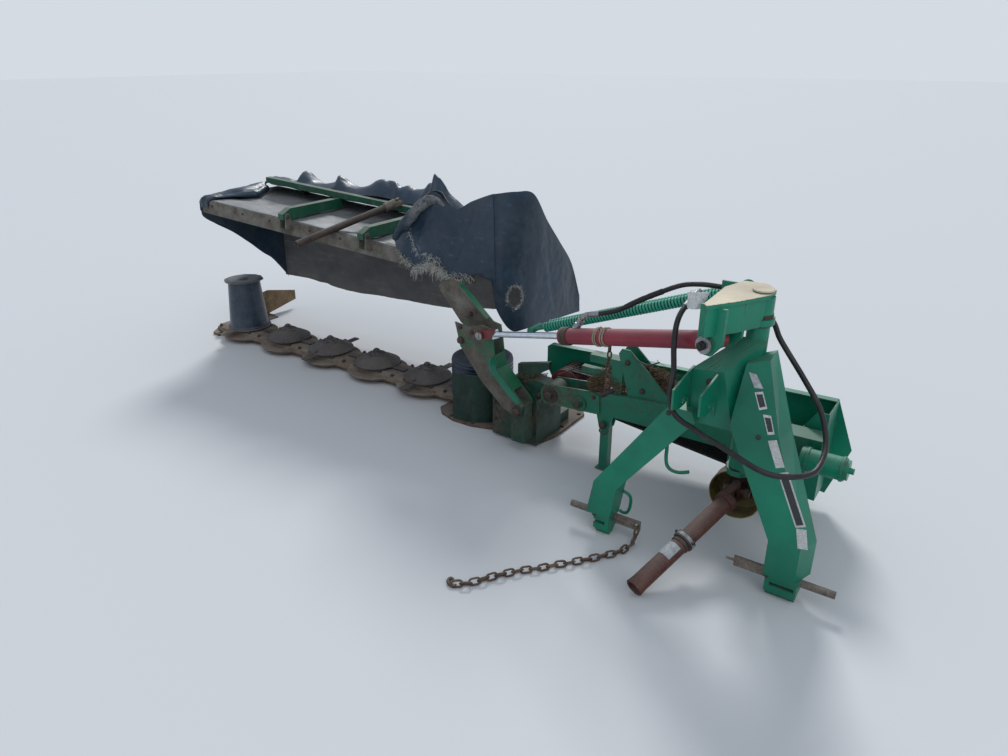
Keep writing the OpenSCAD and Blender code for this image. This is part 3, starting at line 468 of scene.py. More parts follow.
class Shape:
    """Mesh geometry gathered for one piece, in the frame of the hitch."""

    def __init__(self):
        self.points, self.faces = [], []

    def rings(self, rings, closed=False):
        """Skin over rings of equally many points, with flat ends unless it is closed."""
        sides, count, start = len(rings[0]), len(rings), len(self.points)
        faces = []
        for i in range(count if closed else count - 1):
            a, b = i * sides, (i + 1) % count * sides
            for j in range(sides):
                k = (j + 1) % sides
                faces.append((a + j, a + k, b + k, b + j))
        if not closed:
            faces.append(range(sides - 1, -1, -1))
            faces.append([(count - 1) * sides + j for j in range(sides)])
        self.points.extend(p for ring in rings for p in ring)
        self.faces.extend([start + i for i in face] for face in faces)

    def lathe(self, profile, base, axis, sides=20, turn=0.0):
        """Turned form: profile holds (distance along the axis from base, radius)."""
        axis = Vector(axis).normalized()
        u, v = square_to(axis)
        self.rings([[Vector(base) + axis * d + toward(u, v, a) * max(r, 1e-4) for a in turns(sides, turn)]
                    for d, r in profile])

    def sweep(self, points, radius, sides=8, closed=False):
        """Round bar along points; radius is a number or one for each point."""
        points = [Vector(p) for p in points]
        normal = None
        rings = []
        for i, p in enumerate(points):
            way = heading(points, i, closed)
            normal = way.orthogonal() if normal is None else normal - way * normal.dot(way)
            normal.normalize()
            r = radius[i] if hasattr(radius, "__len__") else radius
            rings.append(circle(p, normal, way.cross(normal), r, sides))
        self.rings(rings, closed=closed)

    def bent(self, points, steps, radius, sides):
        """Round bar along a curve through points."""
        self.sweep(smooth_path(points, steps), radius, sides)

    def plate(self, corners, way, low, high):
        """Flat plate between two distances from its corners along way."""
        self.rings([[c + way * low for c in corners], [c + way * high for c in corners]])

    def washer(self, at, axis, outer, inner, thick):
        axis = Vector(axis).normalized()
        self.rings([circle(Vector(at) + axis * d, *square_to(axis), r, 28)
                    for d, r in ((0, inner), (0, outer), (thick, outer), (thick, inner))], closed=True)

    def bolt(self, at, axis, size, head=0.65, stub=0.0, washer=True):
        """Hex head of a bolt of that thread diameter on a washer; with a stub it is a nut on a stud."""
        at, axis = Vector(at), Vector(axis).normalized()
        if washer:
            self.lathe([(0, size * 1.02), (size * 0.14, size * 1.02)], at, axis, 24)
            at = at + axis * size * 0.14
        r = size * 0.86
        tall = size * head
        self.lathe([(0, r * 0.93), (size * 0.05, r), (tall - size * 0.08, r), (tall, r * 0.86)], at, axis, 6,
                   noise.noise(at * 40) * 3)
        if stub:
            top = tall + stub
            self.lathe([(0, size * 0.5), (top - size * 0.08, size * 0.5), (top, size * 0.42)], at, axis, 16)

    def coil(self, start, end, radius, wire, count, steps, sides):
        start, end = Vector(start), Vector(end)
        u, v = square_to((end - start).normalized())
        total = int(count * steps)
        self.sweep([start + (end - start) * (i / total) + toward(u, v, 2 * math.pi * i / steps) * radius
                    for i in range(total + 1)], wire, sides)

    def piece(self, name, body, material, crease=38.0, replaces=(), slot=None):
        mesh = bpy.data.meshes.new(name)
        mesh.from_pydata([Vector(p) + SHIFT for p in self.points], [], self.faces)
        bm = bmesh.new()
        bm.from_mesh(mesh)
        bmesh.ops.recalc_face_normals(bm, faces=bm.faces)
        for face in bm.faces:
            face.smooth = True
        for edge in bm.edges:
            if len(edge.link_faces) == 2 and edge.calc_face_angle(0) > math.radians(crease):
                edge.smooth = False
        bm.to_mesh(mesh)
        bm.free()
        return show(name, mesh, material, body, replaces)


def turned_piece(name, body, material, profile, base, axis, sides, crease=38.0):
    shape = Shape()
    shape.lathe(profile, base, axis, sides)
    return shape.piece(name, body, material, crease)


def belt_loop(a, ra, b, rb, steps=20):
    """Plan of a belt round two pulleys: x, z points in order; each centre is (x, z)."""
    dx, dz = b[0] - a[0], b[1] - a[1]
    span, way = math.hypot(dx, dz), math.atan2(dz, dx)
    lean = math.acos((ra - rb) / span)
    points = []
    for (x, z), r, start, sweep in ((a, ra, way + lean, 2 * math.pi - 2 * lean), (b, rb, way - lean, 2 * lean)):
        for i in range(steps + 1):
            angle = start + sweep * i / steps
            points.append((x + r * math.cos(angle), z + r * math.sin(angle)))
    return points


def belts():
    shape = Shape()
    pulleys = (0.092, 0.25), (-0.9, 0.325)
    outer = belt_loop(pulleys[0], 0.126, pulleys[1], 0.081)
    inner = belt_loop(pulleys[0], 0.1155, pulleys[1], 0.0705)
    for k in range(6):
        y = 0.575 + 0.022 * k
        shape.rings([[Vector((o[0], y - 0.0065, o[1])), Vector((o[0], y + 0.0065, o[1])),
                      Vector((i[0], y + 0.003, i[1])), Vector((i[0], y - 0.003, i[1]))]
                     for o, i in zip(outer, inner)], closed=True)
    shape.piece("drive_belts", "swing_frame", BELT)


HOSE_ROUTE = [(-0.59, 0.196, 0.848), (-0.476, 0.2, 0.885), (-0.387, 0.212, 0.939), (-0.314, 0.225, 0.98),
              (-0.229, 0.242, 1.021), (-0.166, 0.262, 1.03), (-0.119, 0.285, 1.026), (-0.071, 0.305, 1.02),
              (-0.03, 0.316, 1.014), (0.02, 0.318, 0.992), (0.07, 0.3, 0.965), (0.125, 0.25, 0.935),
              (0.155, 0.222, 0.9), (0.188, 0.215, 0.86), (0.269, 0.195, 0.771), (0.343, 0.16, 0.69),
              (0.388, 0.095, 0.625), (0.405, 0.02, 0.586), (0.399, -0.06, 0.563), (0.366, -0.12, 0.564),
              (0.317, -0.17, 0.572), (0.262, -0.195, 0.585), (0.197, -0.195, 0.605), (0.122, -0.17, 0.618),
              (0.04, -0.14, 0.626), (-0.01, -0.122, 0.636), (-0.045, -0.117, 0.645), (-0.074, -0.113, 0.661),
              (-0.096, -0.106, 0.686), (-0.107, -0.095, 0.722), (-0.11, -0.082, 0.765), (-0.114, -0.066, 0.814),
              (-0.127, -0.05, 0.885), (-0.137, -0.02, 0.952), (-0.138, 0.02, 0.992), (-0.13, 0.08, 1.021)]
# corners of the blank tag: upper left and right, lower left and right
TAG = ((-0.108, -0.02, 1.081), (-0.037, -0.004, 1.088), (-0.102, -0.026, 1.026), (-0.047, -0.016, 1.033))


def lift_hose():
    path = smooth_path(HOSE_ROUTE, 5)
    hose, ends, tape, tag = Shape(), Shape(), Shape(), Shape()
    hose.sweep(path, HOSE_R, 14)
    tube = hose.piece("hose", "swing_frame", HOSE, 60, ["lift_hose"])
    start, end = path[0], path[-1]
    lead = (start - path[3]).normalized()
    away = (end - path[-4]).normalized()
    # crimped sleeve with its hex at the cylinder end, and the coupler at the loose end
    for profile, base, way, sides in (
            ([(-0.045, 0.0103), (-0.043, 0.0125), (-0.004, 0.0128), (0.0, 0.0105), (0.004, 0.0105)], start, lead, 20),
            ([(0.003, 0.0135), (0.017, 0.0135), (0.018, 0.009), (0.024, 0.009)], start, lead, 6),
            ([(-0.04, 0.0103), (-0.038, 0.0125), (0.0, 0.0125), (0.002, 0.0105), (0.006, 0.0105)], end, away, 20),
            ([(0.006, 0.014), (0.02, 0.014), (0.021, 0.0105), (0.03, 0.0105), (0.031, 0.0125), (0.05, 0.0125),
              (0.052, 0.009), (0.062, 0.009)], end, away, 20)):
        ends.lathe(profile, base, way, sides)
    fittings = ends.piece("hose_fittings", "swing_frame", ZINC)
    # tape where the hose was mended
    mended = path[7:17]
    tape.sweep(mended, [HOSE_R + 0.0008 + 0.0012 * abs(math.sin(i * 1.9)) for i in range(len(mended))], 14)
    wrap = tape.piece("hose_tape", "swing_frame", TAPE, 60)
    # blank tag tied round the loose end
    high_left, high_right, low_left, low_right = (Vector(p) for p in TAG)
    rows = []
    for i in range(9):
        a = i / 8
        curl = 0.014 * math.sin(a * 2.9)
        top, low = high_left.lerp(high_right, a), low_left.lerp(low_right, a)
        rows.append([top.lerp(low, v) + Vector((0, -curl * (0.4 + v), 0)) for v in (0, 0.33, 0.66, 1)])
    thick = Vector((0.0001, 0.0006, 0.0001))
    for i in range(8):
        for j in range(3):
            tag.plate([rows[i][j], rows[i + 1][j], rows[i + 1][j + 1], rows[i][j + 1]], thick, 0, 1)
    tag.bent([(-0.127, 0.086, 1.032), (-0.128, 0.06, 1.058), (-0.105, 0.02, 1.076), (-0.082, -0.016, 1.078)],
             5, 0.0011, 6)
    label = tag.piece("hose_tag", "swing_frame", WHITE, 60)


def springs():
    coils, ends, cores = Shape(), Shape(), Shape()
    axis = (SPRING_FAR - SPRING_NEAR).normalized()
    for y in SPRING_ROWS:
        at = SPRING_NEAR + Vector((0, y, 0))
        coils.coil(at + axis * 0.056, at + axis * 0.964, 0.0183, 0.0056, 60.5, 16, 7)
        for profile, sides in (([(0.046, 0.008), (0.05, 0.0125), (0.085, 0.0128), (0.09, 0.009)], 16),
                               ([(0.93, 0.009), (0.935, 0.0128), (0.968, 0.0125), (0.972, 0.008)], 16),
                               ([(0.016, 0.008), (0.052, 0.008)], 14), ([(0.965, 0.008), (1.022, 0.008)], 14)):
            ends.lathe(profile, at, axis, sides)
        ends.sweep(circle(at, axis, axis.cross(Y), 0.0235, 28), 0.0065, 8, closed=True)
        # dark core filling the coil: painted shade seen between the turns
        cores.lathe([(0.07, 0.006), (0.075, 0.0135), (0.945, 0.0135), (0.95, 0.006)], at, axis, 12)
    ends.lathe([(0, 0.014), (0.003, 0.016), (0.093, 0.016), (0.1, 0.014)], SPRING_FAR + Y * 0.444, Y, 24)
    ends.bolt((-0.06, 0.42, 0.976), FRONT, 0.024, 0.6)
    coils.piece("spring_coils", "swing_frame", SUNLIT_SPRING_GREEN, 60, ["float_springs"])
    ends.piece("spring_ends", "swing_frame", GREEN)
    cores.piece("spring_cores", "swing_frame", DARK_FIELD_AND_SHADE)


CHAIN_ROUTE = [(-0.229, -0.056), (-0.24, -0.1), (-0.262, -0.145), (-0.328, -0.233), (-0.405, -0.317),
               (-0.459, -0.383), (-0.515, -0.444), (-0.579, -0.539), (-0.624, -0.611), (-0.697, -0.662)]
HOOK_CURVE = [(-0.012, 0.004), (-0.006, -0.002), (0.006, -0.002), (0.018, 0.003), (0.03, 0.013), (0.036, 0.026),
              (0.03, 0.038), (0.018, 0.042), (0.008, 0.037), (0.004, 0.029)]
LINK_COUNT = 22
LINK_PITCH = 0.0347
LINK_WIDTH = 0.0115
LINK_BAR = 0.0044


def plan_point(route, distance):
    """Point and heading at a distance along plan points."""
    for a, b in zip(route, route[1:]):
        a, b = Vector((*a, 0)), Vector((*b, 0))
        span = (b - a).length
        if distance <= span or b == Vector((*route[-1], 0)):
            return a + (b - a) * (distance / span), (b - a).normalized()
        distance -= span


def oval(shape, centre, along, across, stretch=0.0175, width=LINK_WIDTH, bar=LINK_BAR):
    """One welded chain link: two straight sides and two round ends."""
    points = []
    for side in (1, -1):
        for i in range(7):
            t = side * math.pi / 2 - math.pi * i / 6
            reach = side * (stretch - width) + width * math.cos(t) + side * 0.0045
            points.append(centre + along * reach + across * width * math.sin(t))
    shape.sweep(points, bar, 6, closed=True)


def chain():
    links, hook = Shape(), Shape()
    links.sweep(circle(Vector((-0.229, 0, 0.0512)), Y, Z, 0.022, 20), 0.0045, 6, closed=True)
    lean = math.radians(52)
    along = Vector((0, -math.sin(lean), -math.cos(lean) * 0.6)).normalized()
    oval(links, Vector((-0.229, -0.0215, 0.0238)), along, X.cross(along).normalized())
    for i in range(LINK_COUNT):
        point, way = plan_point(CHAIN_ROUTE, i * LINK_PITCH)
        roll = math.radians((i % 2 * 90 - 45) + 16 * math.sin(i * 2.7))
        wobble = 0.09 * math.sin(i * 1.9)
        way = Vector((way.x * math.cos(wobble) - way.y * math.sin(wobble),
                      way.x * math.sin(wobble) + way.y * math.cos(wobble), 0))
        point.z = LINK_WIDTH * abs(math.sin(roll)) + LINK_BAR + 0.0006
        oval(links, point, way, toward(way.cross(Z), Z, roll))
    links.piece("chain_links", "headstock", RUST, 60, ["hitch_chain"])
    # grab hook on the last link
    end, way = plan_point(CHAIN_ROUTE, LINK_COUNT * LINK_PITCH)
    side = way.cross(Z)
    path = smooth_path([end + way * (a * 0.62 - 0.024) + side * (b - 0.004) + Vector((0, 0, 0.0085))
                        for a, b in HOOK_CURVE], 3)
    hook.sweep(path, [0.0045 + 0.0028 * math.sin(math.pi * i / (len(path) - 1)) for i in range(len(path))], 8)
    hook.piece("chain_hook", "headstock", RUST, 60)


def barrel_details():
    axis = (ROD_EYE - BARREL_BASE).normalized()
    metal, ties, hang = Shape(), Shape(), Shape()
    # hydraulic elbow: boss on the gland, swivel nut, bend and hose nut
    low, high = Vector((-0.642, 0.176, 0.786)), Vector((-0.612, 0.194, 0.84))
    up = (high - low).normalized()
    metal.lathe([(0.0, 0.016), (0.02, 0.016), (0.022, 0.012), (0.03, 0.012)], low, up, 20)
    metal.lathe([(0.028, 0.0155), (0.042, 0.0155), (0.043, 0.011), (0.056, 0.011)], low, up, 6)
    metal.bent([low + up * 0.05, high, (-0.6, 0.1955, 0.8465)], 5, 0.0108, 12)
    metal.piece("elbow_fitting", "barrel", ZINC)
    # two turns of string each, round the barrel near the gland, with a loose end
    u, v = square_to(axis)
    for where in (0.5, 0.512, 0.54, 0.55):
        ties.sweep([BARREL_BASE + axis * (where + 0.0015 * math.sin(3 * t)) + toward(u, v, t) * 0.0362
                    for t in turns(40)], 0.0034, 6, closed=True)
    top = BARREL_BASE + axis * 0.545 + Vector((0, -0.01, 0.036))
    loose_end = (0, 0, 0), (0.01, -0.004, 0.012), (0.028, -0.008, 0.004), (0.036, -0.012, 0.016)
    ties.bent([top + Vector(p) for p in loose_end], 4, 0.003, 6)
    ties.piece("string_ties", "barrel", STRING, 60)
    # screwed gland, gone dark brown, with its wiper
    turned_piece("gland_nut", "barrel", IRON, [
        (0.7105, 0.034), (0.7115, 0.0385), (0.72, 0.0388), (0.7205, 0.0378), (0.7225, 0.0378), (0.723, 0.0388),
        (0.744, 0.0386), (0.751, 0.036), (0.7552, 0.031), (0.7562, 0.0245), (0.7575, 0.0215), (0.7605, 0.0205),
        (0.761, 0.0145)], BARREL_BASE, axis, 48)
    # chain and rubber-covered handle hanging under the barrel
    start = BARREL_BASE + axis * 0.49 + Vector((0, 0.0, -0.042))
    for i in range(8):
        centre = start + Vector((0.003 * math.sin(i * 1.7), 0.003 * math.cos(i * 2), -0.006 - 0.0245 * i))
        oval(hang, centre, Z, X if i % 2 else Y, 0.0105, 0.0078, 0.0034)
    hang.piece("hanging_chain", "barrel", RUST, 60)
    turned_piece("rubber_grip", "barrel", TAPE, [
        (-0.034, 0.006), (-0.032, 0.0105), (-0.008, 0.0125), (0.0, 0.0105), (0.012, 0.0125), (0.036, 0.0115),
        (0.04, 0.005)], start + Vector((0, 0, -0.198)), (0.62, -0.1, 0.5), 16, 60)


CAP_OUTLINE = [(-0.0205, -0.0965), (-0.0048, -0.1172), (0.0705, -0.001), (0.1315, 0.12), (0.1315, 0.19),
               (0.1175, 0.2135), (0.0838, 0.2505), (0.0035, 0.2455), (-0.0305, 0.132)]


def head_details():
    """Washers, nut and pin head at the swing head, with the dusty cap on its top plate."""
    side = Vector((-0.319, -1.217, 0)).normalized()
    metal, dark, cap, sleeves, ridges = Shape(), Shape(), Shape(), Shape(), Shape()
    metal.washer(BARREL_BASE + side * 0.0735, side, 0.031, 0.0155, 0.004)
    metal.washer(BARREL_BASE + side * 0.0775, side, 0.0285, 0.0155, 0.003)
    metal.piece("base_pin_washers", "swing_frame", ZINC)
    dark.bolt(BARREL_BASE + side * 0.0805, side, 0.02, 0.8, 0.008, washer=False)
    dark.piece("base_pin_nut", "swing_frame", TAPE, slot="rusty_steel")
    cap.plate([Vector((x, y, 1.074)) for x, y in CAP_OUTLINE], Z, 0, 0.0012)
    cap.piece("head_cap", "swing_frame", TAN)
    turned_piece("king_pin_head", "swing_frame", TAN, [
        (0, 0.0365), (0.0032, 0.0365), (0.0048, 0.0345), (0.005, 0.029), (0.0042, 0.0275), (0.0042, 0.0)],
        KING_PIN + Z * 1.0798, Z, 40)
    sleeves.lathe([(0.9555, 0.0395), (0.9565, 0.0455), (0.961, 0.0455), (0.9615, 0.0395)], KING_PIN, Z, 40)
    sleeves.lathe([(0.9868, 0.0442), (0.988, 0.0458), (1.0, 0.0458), (1.001, 0.0442)], KING_PIN, Z, 40)
    sleeves.piece("king_sleeves", "swing_frame", IRON)
    near_a, near_b = Vector((-0.074, -0.004, 0.8)), Vector((0.045, -0.004, 0.815))
    far_a, far_b = Vector((0.06, 0.118, 0.912)), Vector((0.143, 0.118, 0.908))
    sunk = Z * 0.0012
    for s in (0.4, 0.58, 0.76):
        p, q = near_a.lerp(near_b, s), far_a.lerp(far_b, s)
        ridges.sweep([p.lerp(q, 0.04) - sunk, p.lerp(q, 0.5), p.lerp(q, 0.93) - sunk], 0.0026, 8)
    ridges.piece("mast_ridges", "headstock", GREEN, 60)


def woven_grid(rows, down, along):
    """Finer grid of points through a coarse one."""
    wide = [resampled([Vector(p) for p in row], along) for row in rows]
    columns = [resampled([row[j] for row in wide], down) for j in range(along + 1)]
    return [[columns[j][i] for j in range(along + 1)] for i in range(down + 1)]


def shield_grid(rows, down, along):
    """Finer grid through points given in the shield's frame."""
    return woven_grid([[in_shield(*p) for p in row] for row in rows], down, along)


def normals_of(grid):
    m, n = len(grid), len(grid[0])
    return [[(grid[i][min(j + 1, n - 1)] - grid[i][max(j - 1, 0)]).cross(
        grid[min(i + 1, m - 1)][j] - grid[max(i - 1, 0)][j]).normalized() for j in range(n)] for i in range(m)]


def moved(grid, shift):
    """The grid with shift(p, normal, u, v) added to each point."""
    ways = normals_of(grid)
    m, n = len(grid) - 1, len(grid[0]) - 1
    return [[p + shift(p, ways[i][j], j / n, i / m) for j, p in enumerate(row)] for i, row in enumerate(grid)]


def wrinkled(grid, amount, size, keep=lambda u, v: 1.0, seed=0.0, stretch=(1.0, 1.0, 1.0)):
    """Push the grid along its normals by smooth noise that depends on place; keep scales it over the sheet."""
    def push(p, normal, u, v):
        q = Vector((p.x * stretch[0], p.y * stretch[1], p.z * stretch[2])) / size + Vector((seed, 0, 0))
        return normal * noise.fractal(q, 0.9, 2.1, 4) * amount * keep(u, v)

    return moved(grid, push)


def sheet_piece(name, grid, material, replaces=(), gone=None, pieces=()):
    """A sheet of cloth over a grid of points, without what is gone."""
    m, n = len(grid), len(grid[0])
    mesh = bpy.data.meshes.new(name)
    faces = []
    for i in range(m - 1):
        for j in range(n - 1):
            middle = (grid[i][j] + grid[i + 1][j + 1]) * 0.5
            if gone is None or not gone(middle, j / (n - 1), i / (m - 1)):
                faces.append((i * n + j, i * n + j + 1, (i + 1) * n + j + 1, (i + 1) * n + j))
    mesh.from_pydata([p + SHIFT for row in grid for p in row], [], faces)
    bm = bmesh.new()
    bm.from_mesh(mesh)
    bmesh.ops.delete(bm, geom=[v for v in bm.verts if not v.link_faces], context="VERTS")
    area = sum(face.calc_area() for face in bm.faces)
    for face in bm.faces:
        face.smooth = True
    bm.to_mesh(mesh)
    bm.free()
    obj = show(name, mesh, material, "lever", replaces)
    solid = obj.modifiers.new("thickness", "SOLIDIFY")
    solid.thickness = CLOTH_THICK
    solid.offset = 0.0


def top_sheet():
    rows = []
    for y in (0.005, 0.042, 0.18, 0.32, 0.46, 0.598, 0.63):
        sag = 0.0 if y < 0.05 or y > 0.59 else -0.009 * math.sin(math.pi * (y - 0.04) / 0.56)
        rows.append([(-SHIELD_LENGTH * (1 - k / 12), y, 0.0016 + sag * abs(math.sin(math.pi * k / 4)))
                     for k in range(13)])
    rim = lambda u, v: max(0.0, min(1.0, 9 * v, 9 * (1 - v), 14 * u, 14 * (1 - u)))
    grid = wrinkled(shield_grid(rows, 44, 130), 0.006, 0.16, rim, 3.0, (0.6, 1.6, 1.0))
    sheet_piece("shield_top_sheet", grid, DUSTY_SUNLIT_TOP_CANVAS, ["shield_top"])


REAR_LOW = (-0.66, -0.65, -0.64, -0.636, -0.628, -0.615, -0.6, -0.585, -0.56, -0.53, -0.49, -0.45, -0.42)
OUTER_LOW = ((-0.004, -0.02), (0.0, -0.11), (0.09, -0.18), (0.2, -0.25), (0.33, -0.35), (0.45, -0.45), (0.54, -0.52),
             (SHIELD_DEPTH, -0.6))


def rear_sheet():
    rows = [[(-SHIELD_LENGTH * (1 - k / 12) - (0.022 * min(1.0, 6 * t) if k == 0 else 0),
              SHIELD_DEPTH + 0.0015 + 0.016 * t * (1 + math.sin(math.radians(k * 75))), low * t)
             for k, low in enumerate(REAR_LOW)] for t in (0, 0.06, 0.3, 0.5, 0.75, 1)]
    grid = wrinkled(shield_grid(rows, 56, 150), 0.012, 0.28, lambda u, v: min(1.0, 3 * v, 10 * u), 9.0,
                    (1.6, 1.0, 0.45))
    grid = wrinkled(grid, 0.003, 0.05, lambda u, v: min(1.0, 4 * v, 10 * u), 2.0)
    sheet_piece("rear_sheet", grid, INNER_CANVAS, ["rear_curtain"])


def outer_sheet():
    rows = [[(-SHIELD_LENGTH - 0.0015 - 0.009 * t * (1 + math.sin(math.radians(k * 80))),
              y + (0.03 * min(1.0, 5 * t) if k == 7 else 0), low * (t if k < 7 else 1.12 * t))
             for k, (y, low) in enumerate(OUTER_LOW)] for t in (0, 0.1, 0.35, 0.65, 1)]
    grid = wrinkled(shield_grid(rows, 36, 60), 0.006, 0.15, lambda u, v: min(1.0, 3 * v, 8 * (1 - u)), 5.0)
    sheet_piece("outer_sheet", grid, CANVAS, ["outer_curtain"])


FLAP_LOW = ((-1.915, 0.494, 0.925), (-1.87, 0.49, 0.848), (-1.76, 0.484, 0.776), (-1.645, 0.482, 0.826),
            (-1.556, 0.482, 0.778), (-1.484, 0.486, 0.778), (-1.345, 0.552, 0.785), (-1.31, 0.562, 0.64),
            (-1.262, 0.622, 0.519), (-1.212, 0.7, 0.516), (-1.2, 0.86, 0.503), (-1.2, 1.015, 0.489),
            (-1.2, 1.125, 0.478), (-1.2, 1.234, 0.466))
FLAP_HIGH = ((-1.905, 0.52, 0.96), (-1.83, 0.6, 1.08), (-1.737, 0.62, 1.171), (-1.65, 0.61, 1.13),
             (-1.568, 0.6, 1.109), (-1.46, 0.572, 1.16), (-1.345, 0.56, 1.204), (-1.322, 0.59, 1.208),
             (-1.255, 0.655, 1.215), (-1.205, 0.734, 1.198), (-1.2, 0.859, 1.048), (-1.2, 0.99, 0.914),
             (-1.2, 1.125, 0.767), (-1.2, 1.228, 0.56))
CURL_SPINE = [(-1.925, 0.5, 0.925), (-1.905, 0.512, 0.972), (-1.868, 0.53, 1.02), (-1.83, 0.56, 1.072),
              (-1.785, 0.585, 1.118), (-1.745, 0.6, 1.142), (-1.7, 0.605, 1.136), (-1.655, 0.6, 1.112)]
TEAR_AT, TEAR_WIDE, TEAR_TALL = Vector((-1.252, 0.645, 0.694)), 0.044, 0.06
# height, place along u at the upper edge, drift with v, half width and whether it fades at both ends: the corner
# where the two panels meet, and slack lines that run down from the rail
CREASES = ((0.011, 0.545, -0.02, 0.03, False), (0.006, 0.3, 0.12, 0.02, True), (-0.006, 0.7, 0.05, 0.03, True),
           (0.004, 0.82, -0.06, 0.02, True))


def flap_point(j, low, high, t):
    swell = math.sin(math.pi * t)
    dx = 0.009 * math.sin(math.radians(j * 110)) * swell if j > 7 else 0.0
    dy = (0.009 + 0.009 * math.sin(math.radians(j * 95))) * swell if j < 7 else 0.0
    return Vector(low).lerp(Vector(high), t) + Vector((dx - 0.001, dy + 0.001, 0))


def creased(p, normal, u, v):
    lift = 0.0
    for high, at, drift, half, fades in CREASES:
        lift += high * max(0.0, 1 - abs(u - at - drift * v) / half) * (math.sin(math.pi * v) if fades else 1.0)
    return normal * -lift * min(1.0, 6 * v, 6 * (1 - v) + 0.2)


def torn_away(p, u, v):
    """The hole in the side panel, and the torn lower edge of the front panel."""
    d = p - TEAR_AT
    ragged = 1 + 0.35 * noise.noise(p * 38)
    if math.hypot(math.hypot(d.x, d.y) / TEAR_WIDE, (d.z + 0.2 * d.x) / TEAR_TALL) < ragged and u > 0.45:
        return True
    return u < 0.47 and v < 0.035 + 0.05 * noise.noise(p * 26) + 0.02 * noise.noise(p * 90)


def flap():
    rows = [[flap_point(j, low, high, i / 6) for j, (low, high) in enumerate(zip(FLAP_LOW, FLAP_HIGH))]
            for i in range(7)]
    steady = lambda u, v: min(1.0, 5 * v, 5 * (1 - v)) * min(1.0, 12 * u)
    grid = wrinkled(woven_grid(rows, 84, 190), 0.008, 0.22, steady, 1.0, (1.0, 1.0, 0.6))
    grid = moved(wrinkled(grid, 0.0018, 0.035, steady, 7.0), creased)
    sheet_piece("flap_sheet", grid, CANVAS, ["inner_flap"], torn_away,
                [strands()])
    # curled edge at the outer side of the flap
    spine = smooth_path(CURL_SPINE, 8)
    rows = []
    for i, p in enumerate(spine):
        way = heading(spine, i)
        u = (FRONT - way * way.dot(FRONT)).normalized()
        v = way.cross(u)
        swell = 0.75 + 0.6 * math.sin(math.pi * i / (len(spine) - 1)) + 0.3 * noise.noise(p * 18)
        row = []
        for k in range(23):
            a = k / 22
            turn = -0.9 + 5.2 * a
            r = (0.017 + 0.012 * a) * swell
            row.append(p + u * math.cos(turn) * r * 1.15 + v * math.sin(turn) * r + Vector((0, 0.012, 0)))
        rows.append(row)
    sheet_piece("flap_curl", wrinkled(rows, 0.007, 0.06, seed=4.0), UNDERSIDE)


# stretches of the torn edges: two ends, number of threads and their reach
FRAYED = [((-1.88, 0.488, 0.86), (-1.77, 0.482, 0.79), 60, 0.045),
          ((-1.77, 0.482, 0.79), (-1.65, 0.48, 0.83), 190, 0.06),
          ((-1.65, 0.48, 0.83), (-1.55, 0.48, 0.79), 190, 0.06),
          ((-1.55, 0.48, 0.79), (-1.42, 0.512, 0.79), 110, 0.045),
          ((-1.8, 0.49, 0.98), (-1.74, 0.488, 0.86), 46, 0.035),
          ((-1.71, 0.486, 0.88), (-1.6, 0.486, 0.85), 60, 0.05)]


def strands():
    """White threads of the woven backing, hanging from the torn edges and round the hole."""
    shape = Shape()
    number = 0
    for a, b, count, reach in FRAYED:
        for i in range(count):
            number += 1
            s = noise.noise(Vector((number * 0.73, 3.1, 0))) * 0.5 + 0.5
            root = Vector(a).lerp(Vector(b), (i + s) / count)
            lean = noise.noise_vector(Vector((number * 1.37, 0.0, 8.0)))
            way = Vector((lean.x * 2.6, -0.1 - abs(lean.y) * 0.3, -0.18 + lean.z * 1.7)).normalized()
            size = reach * (0.25 + 0.7 * abs(noise.noise(Vector((number * 2.1, 1.0, 0)))) * 1.7)
            bow = Vector((lean.y, 0, lean.x)) * 1.4
            lift = Vector((0, -0.004, abs(lean.x) * 0.05))
            shape.sweep([root + way * size * t + Vector((0, 0, -0.35)) * size * t * t + bow * size * t * (1 - t) + lift
                         for t in (0, 0.35, 0.7, 1.0)], 0.0006, 3)
    level = Vector((0.58, 0.816, 0))
    for i, t in enumerate(turns(170)):
        lean = noise.noise_vector(Vector((i * 0.9, 5.0, 2.0)))
        p = (TEAR_AT + level * TEAR_WIDE * math.cos(t) * 1.02 + Z * TEAR_TALL * math.sin(t) * 1.02
             + Vector((0.004, -0.004, 0)))
        inward = (TEAR_AT - p).normalized() * (1.0 if i % 3 else -0.7) + Vector((0, -0.25, 0))
        reach = 0.006 + 0.012 * abs(lean.z)
        shape.sweep([p, p + inward * reach * 0.6 + lean * 0.005, p + inward * reach + lean * 0.013], 0.0007, 3)
    return shape.piece("flap_shreds", "lever", FIBRE, 60)


# the folded curtain along its length: x, height of its crest, height of its near edge
FOLD_LINE = ((-2.2, 0.03, 0.02), (-2.15, 0.04, 0.024), (-2.01, 0.09, 0.092), (-1.87, 0.012, 0.09), (-1.79, 0.15, 0.11),
             (-1.7, 0.106, 0.095), (-1.58, 0.13, 0.1), (-1.465, 0.165, 0.112), (-1.32, 0.142, 0.1),
             (-1.16, 0.195, 0.118), (-0.99, 0.194, 0.12), (-0.87, 0.188, 0.11), (-0.78, 0.23, 0.118),
             (-0.69, 0.293, 0.13), (-0.565, 0.191, 0.118), (-0.42, 0.06, 0.07))
# rows of the folded curtain: y, shares of the crest's and the near edge's height, lift
FOLD_ROWS = ((0.447, 0, 1, 0), (0.505, 0.5, 0.5, 0.018), (0.56, 1, 0, 0), (0.59, 0.7, 0, 0.006),
             (0.612, 0.35, 0, 0.008), (0.626, 0, 0, 0.0055))
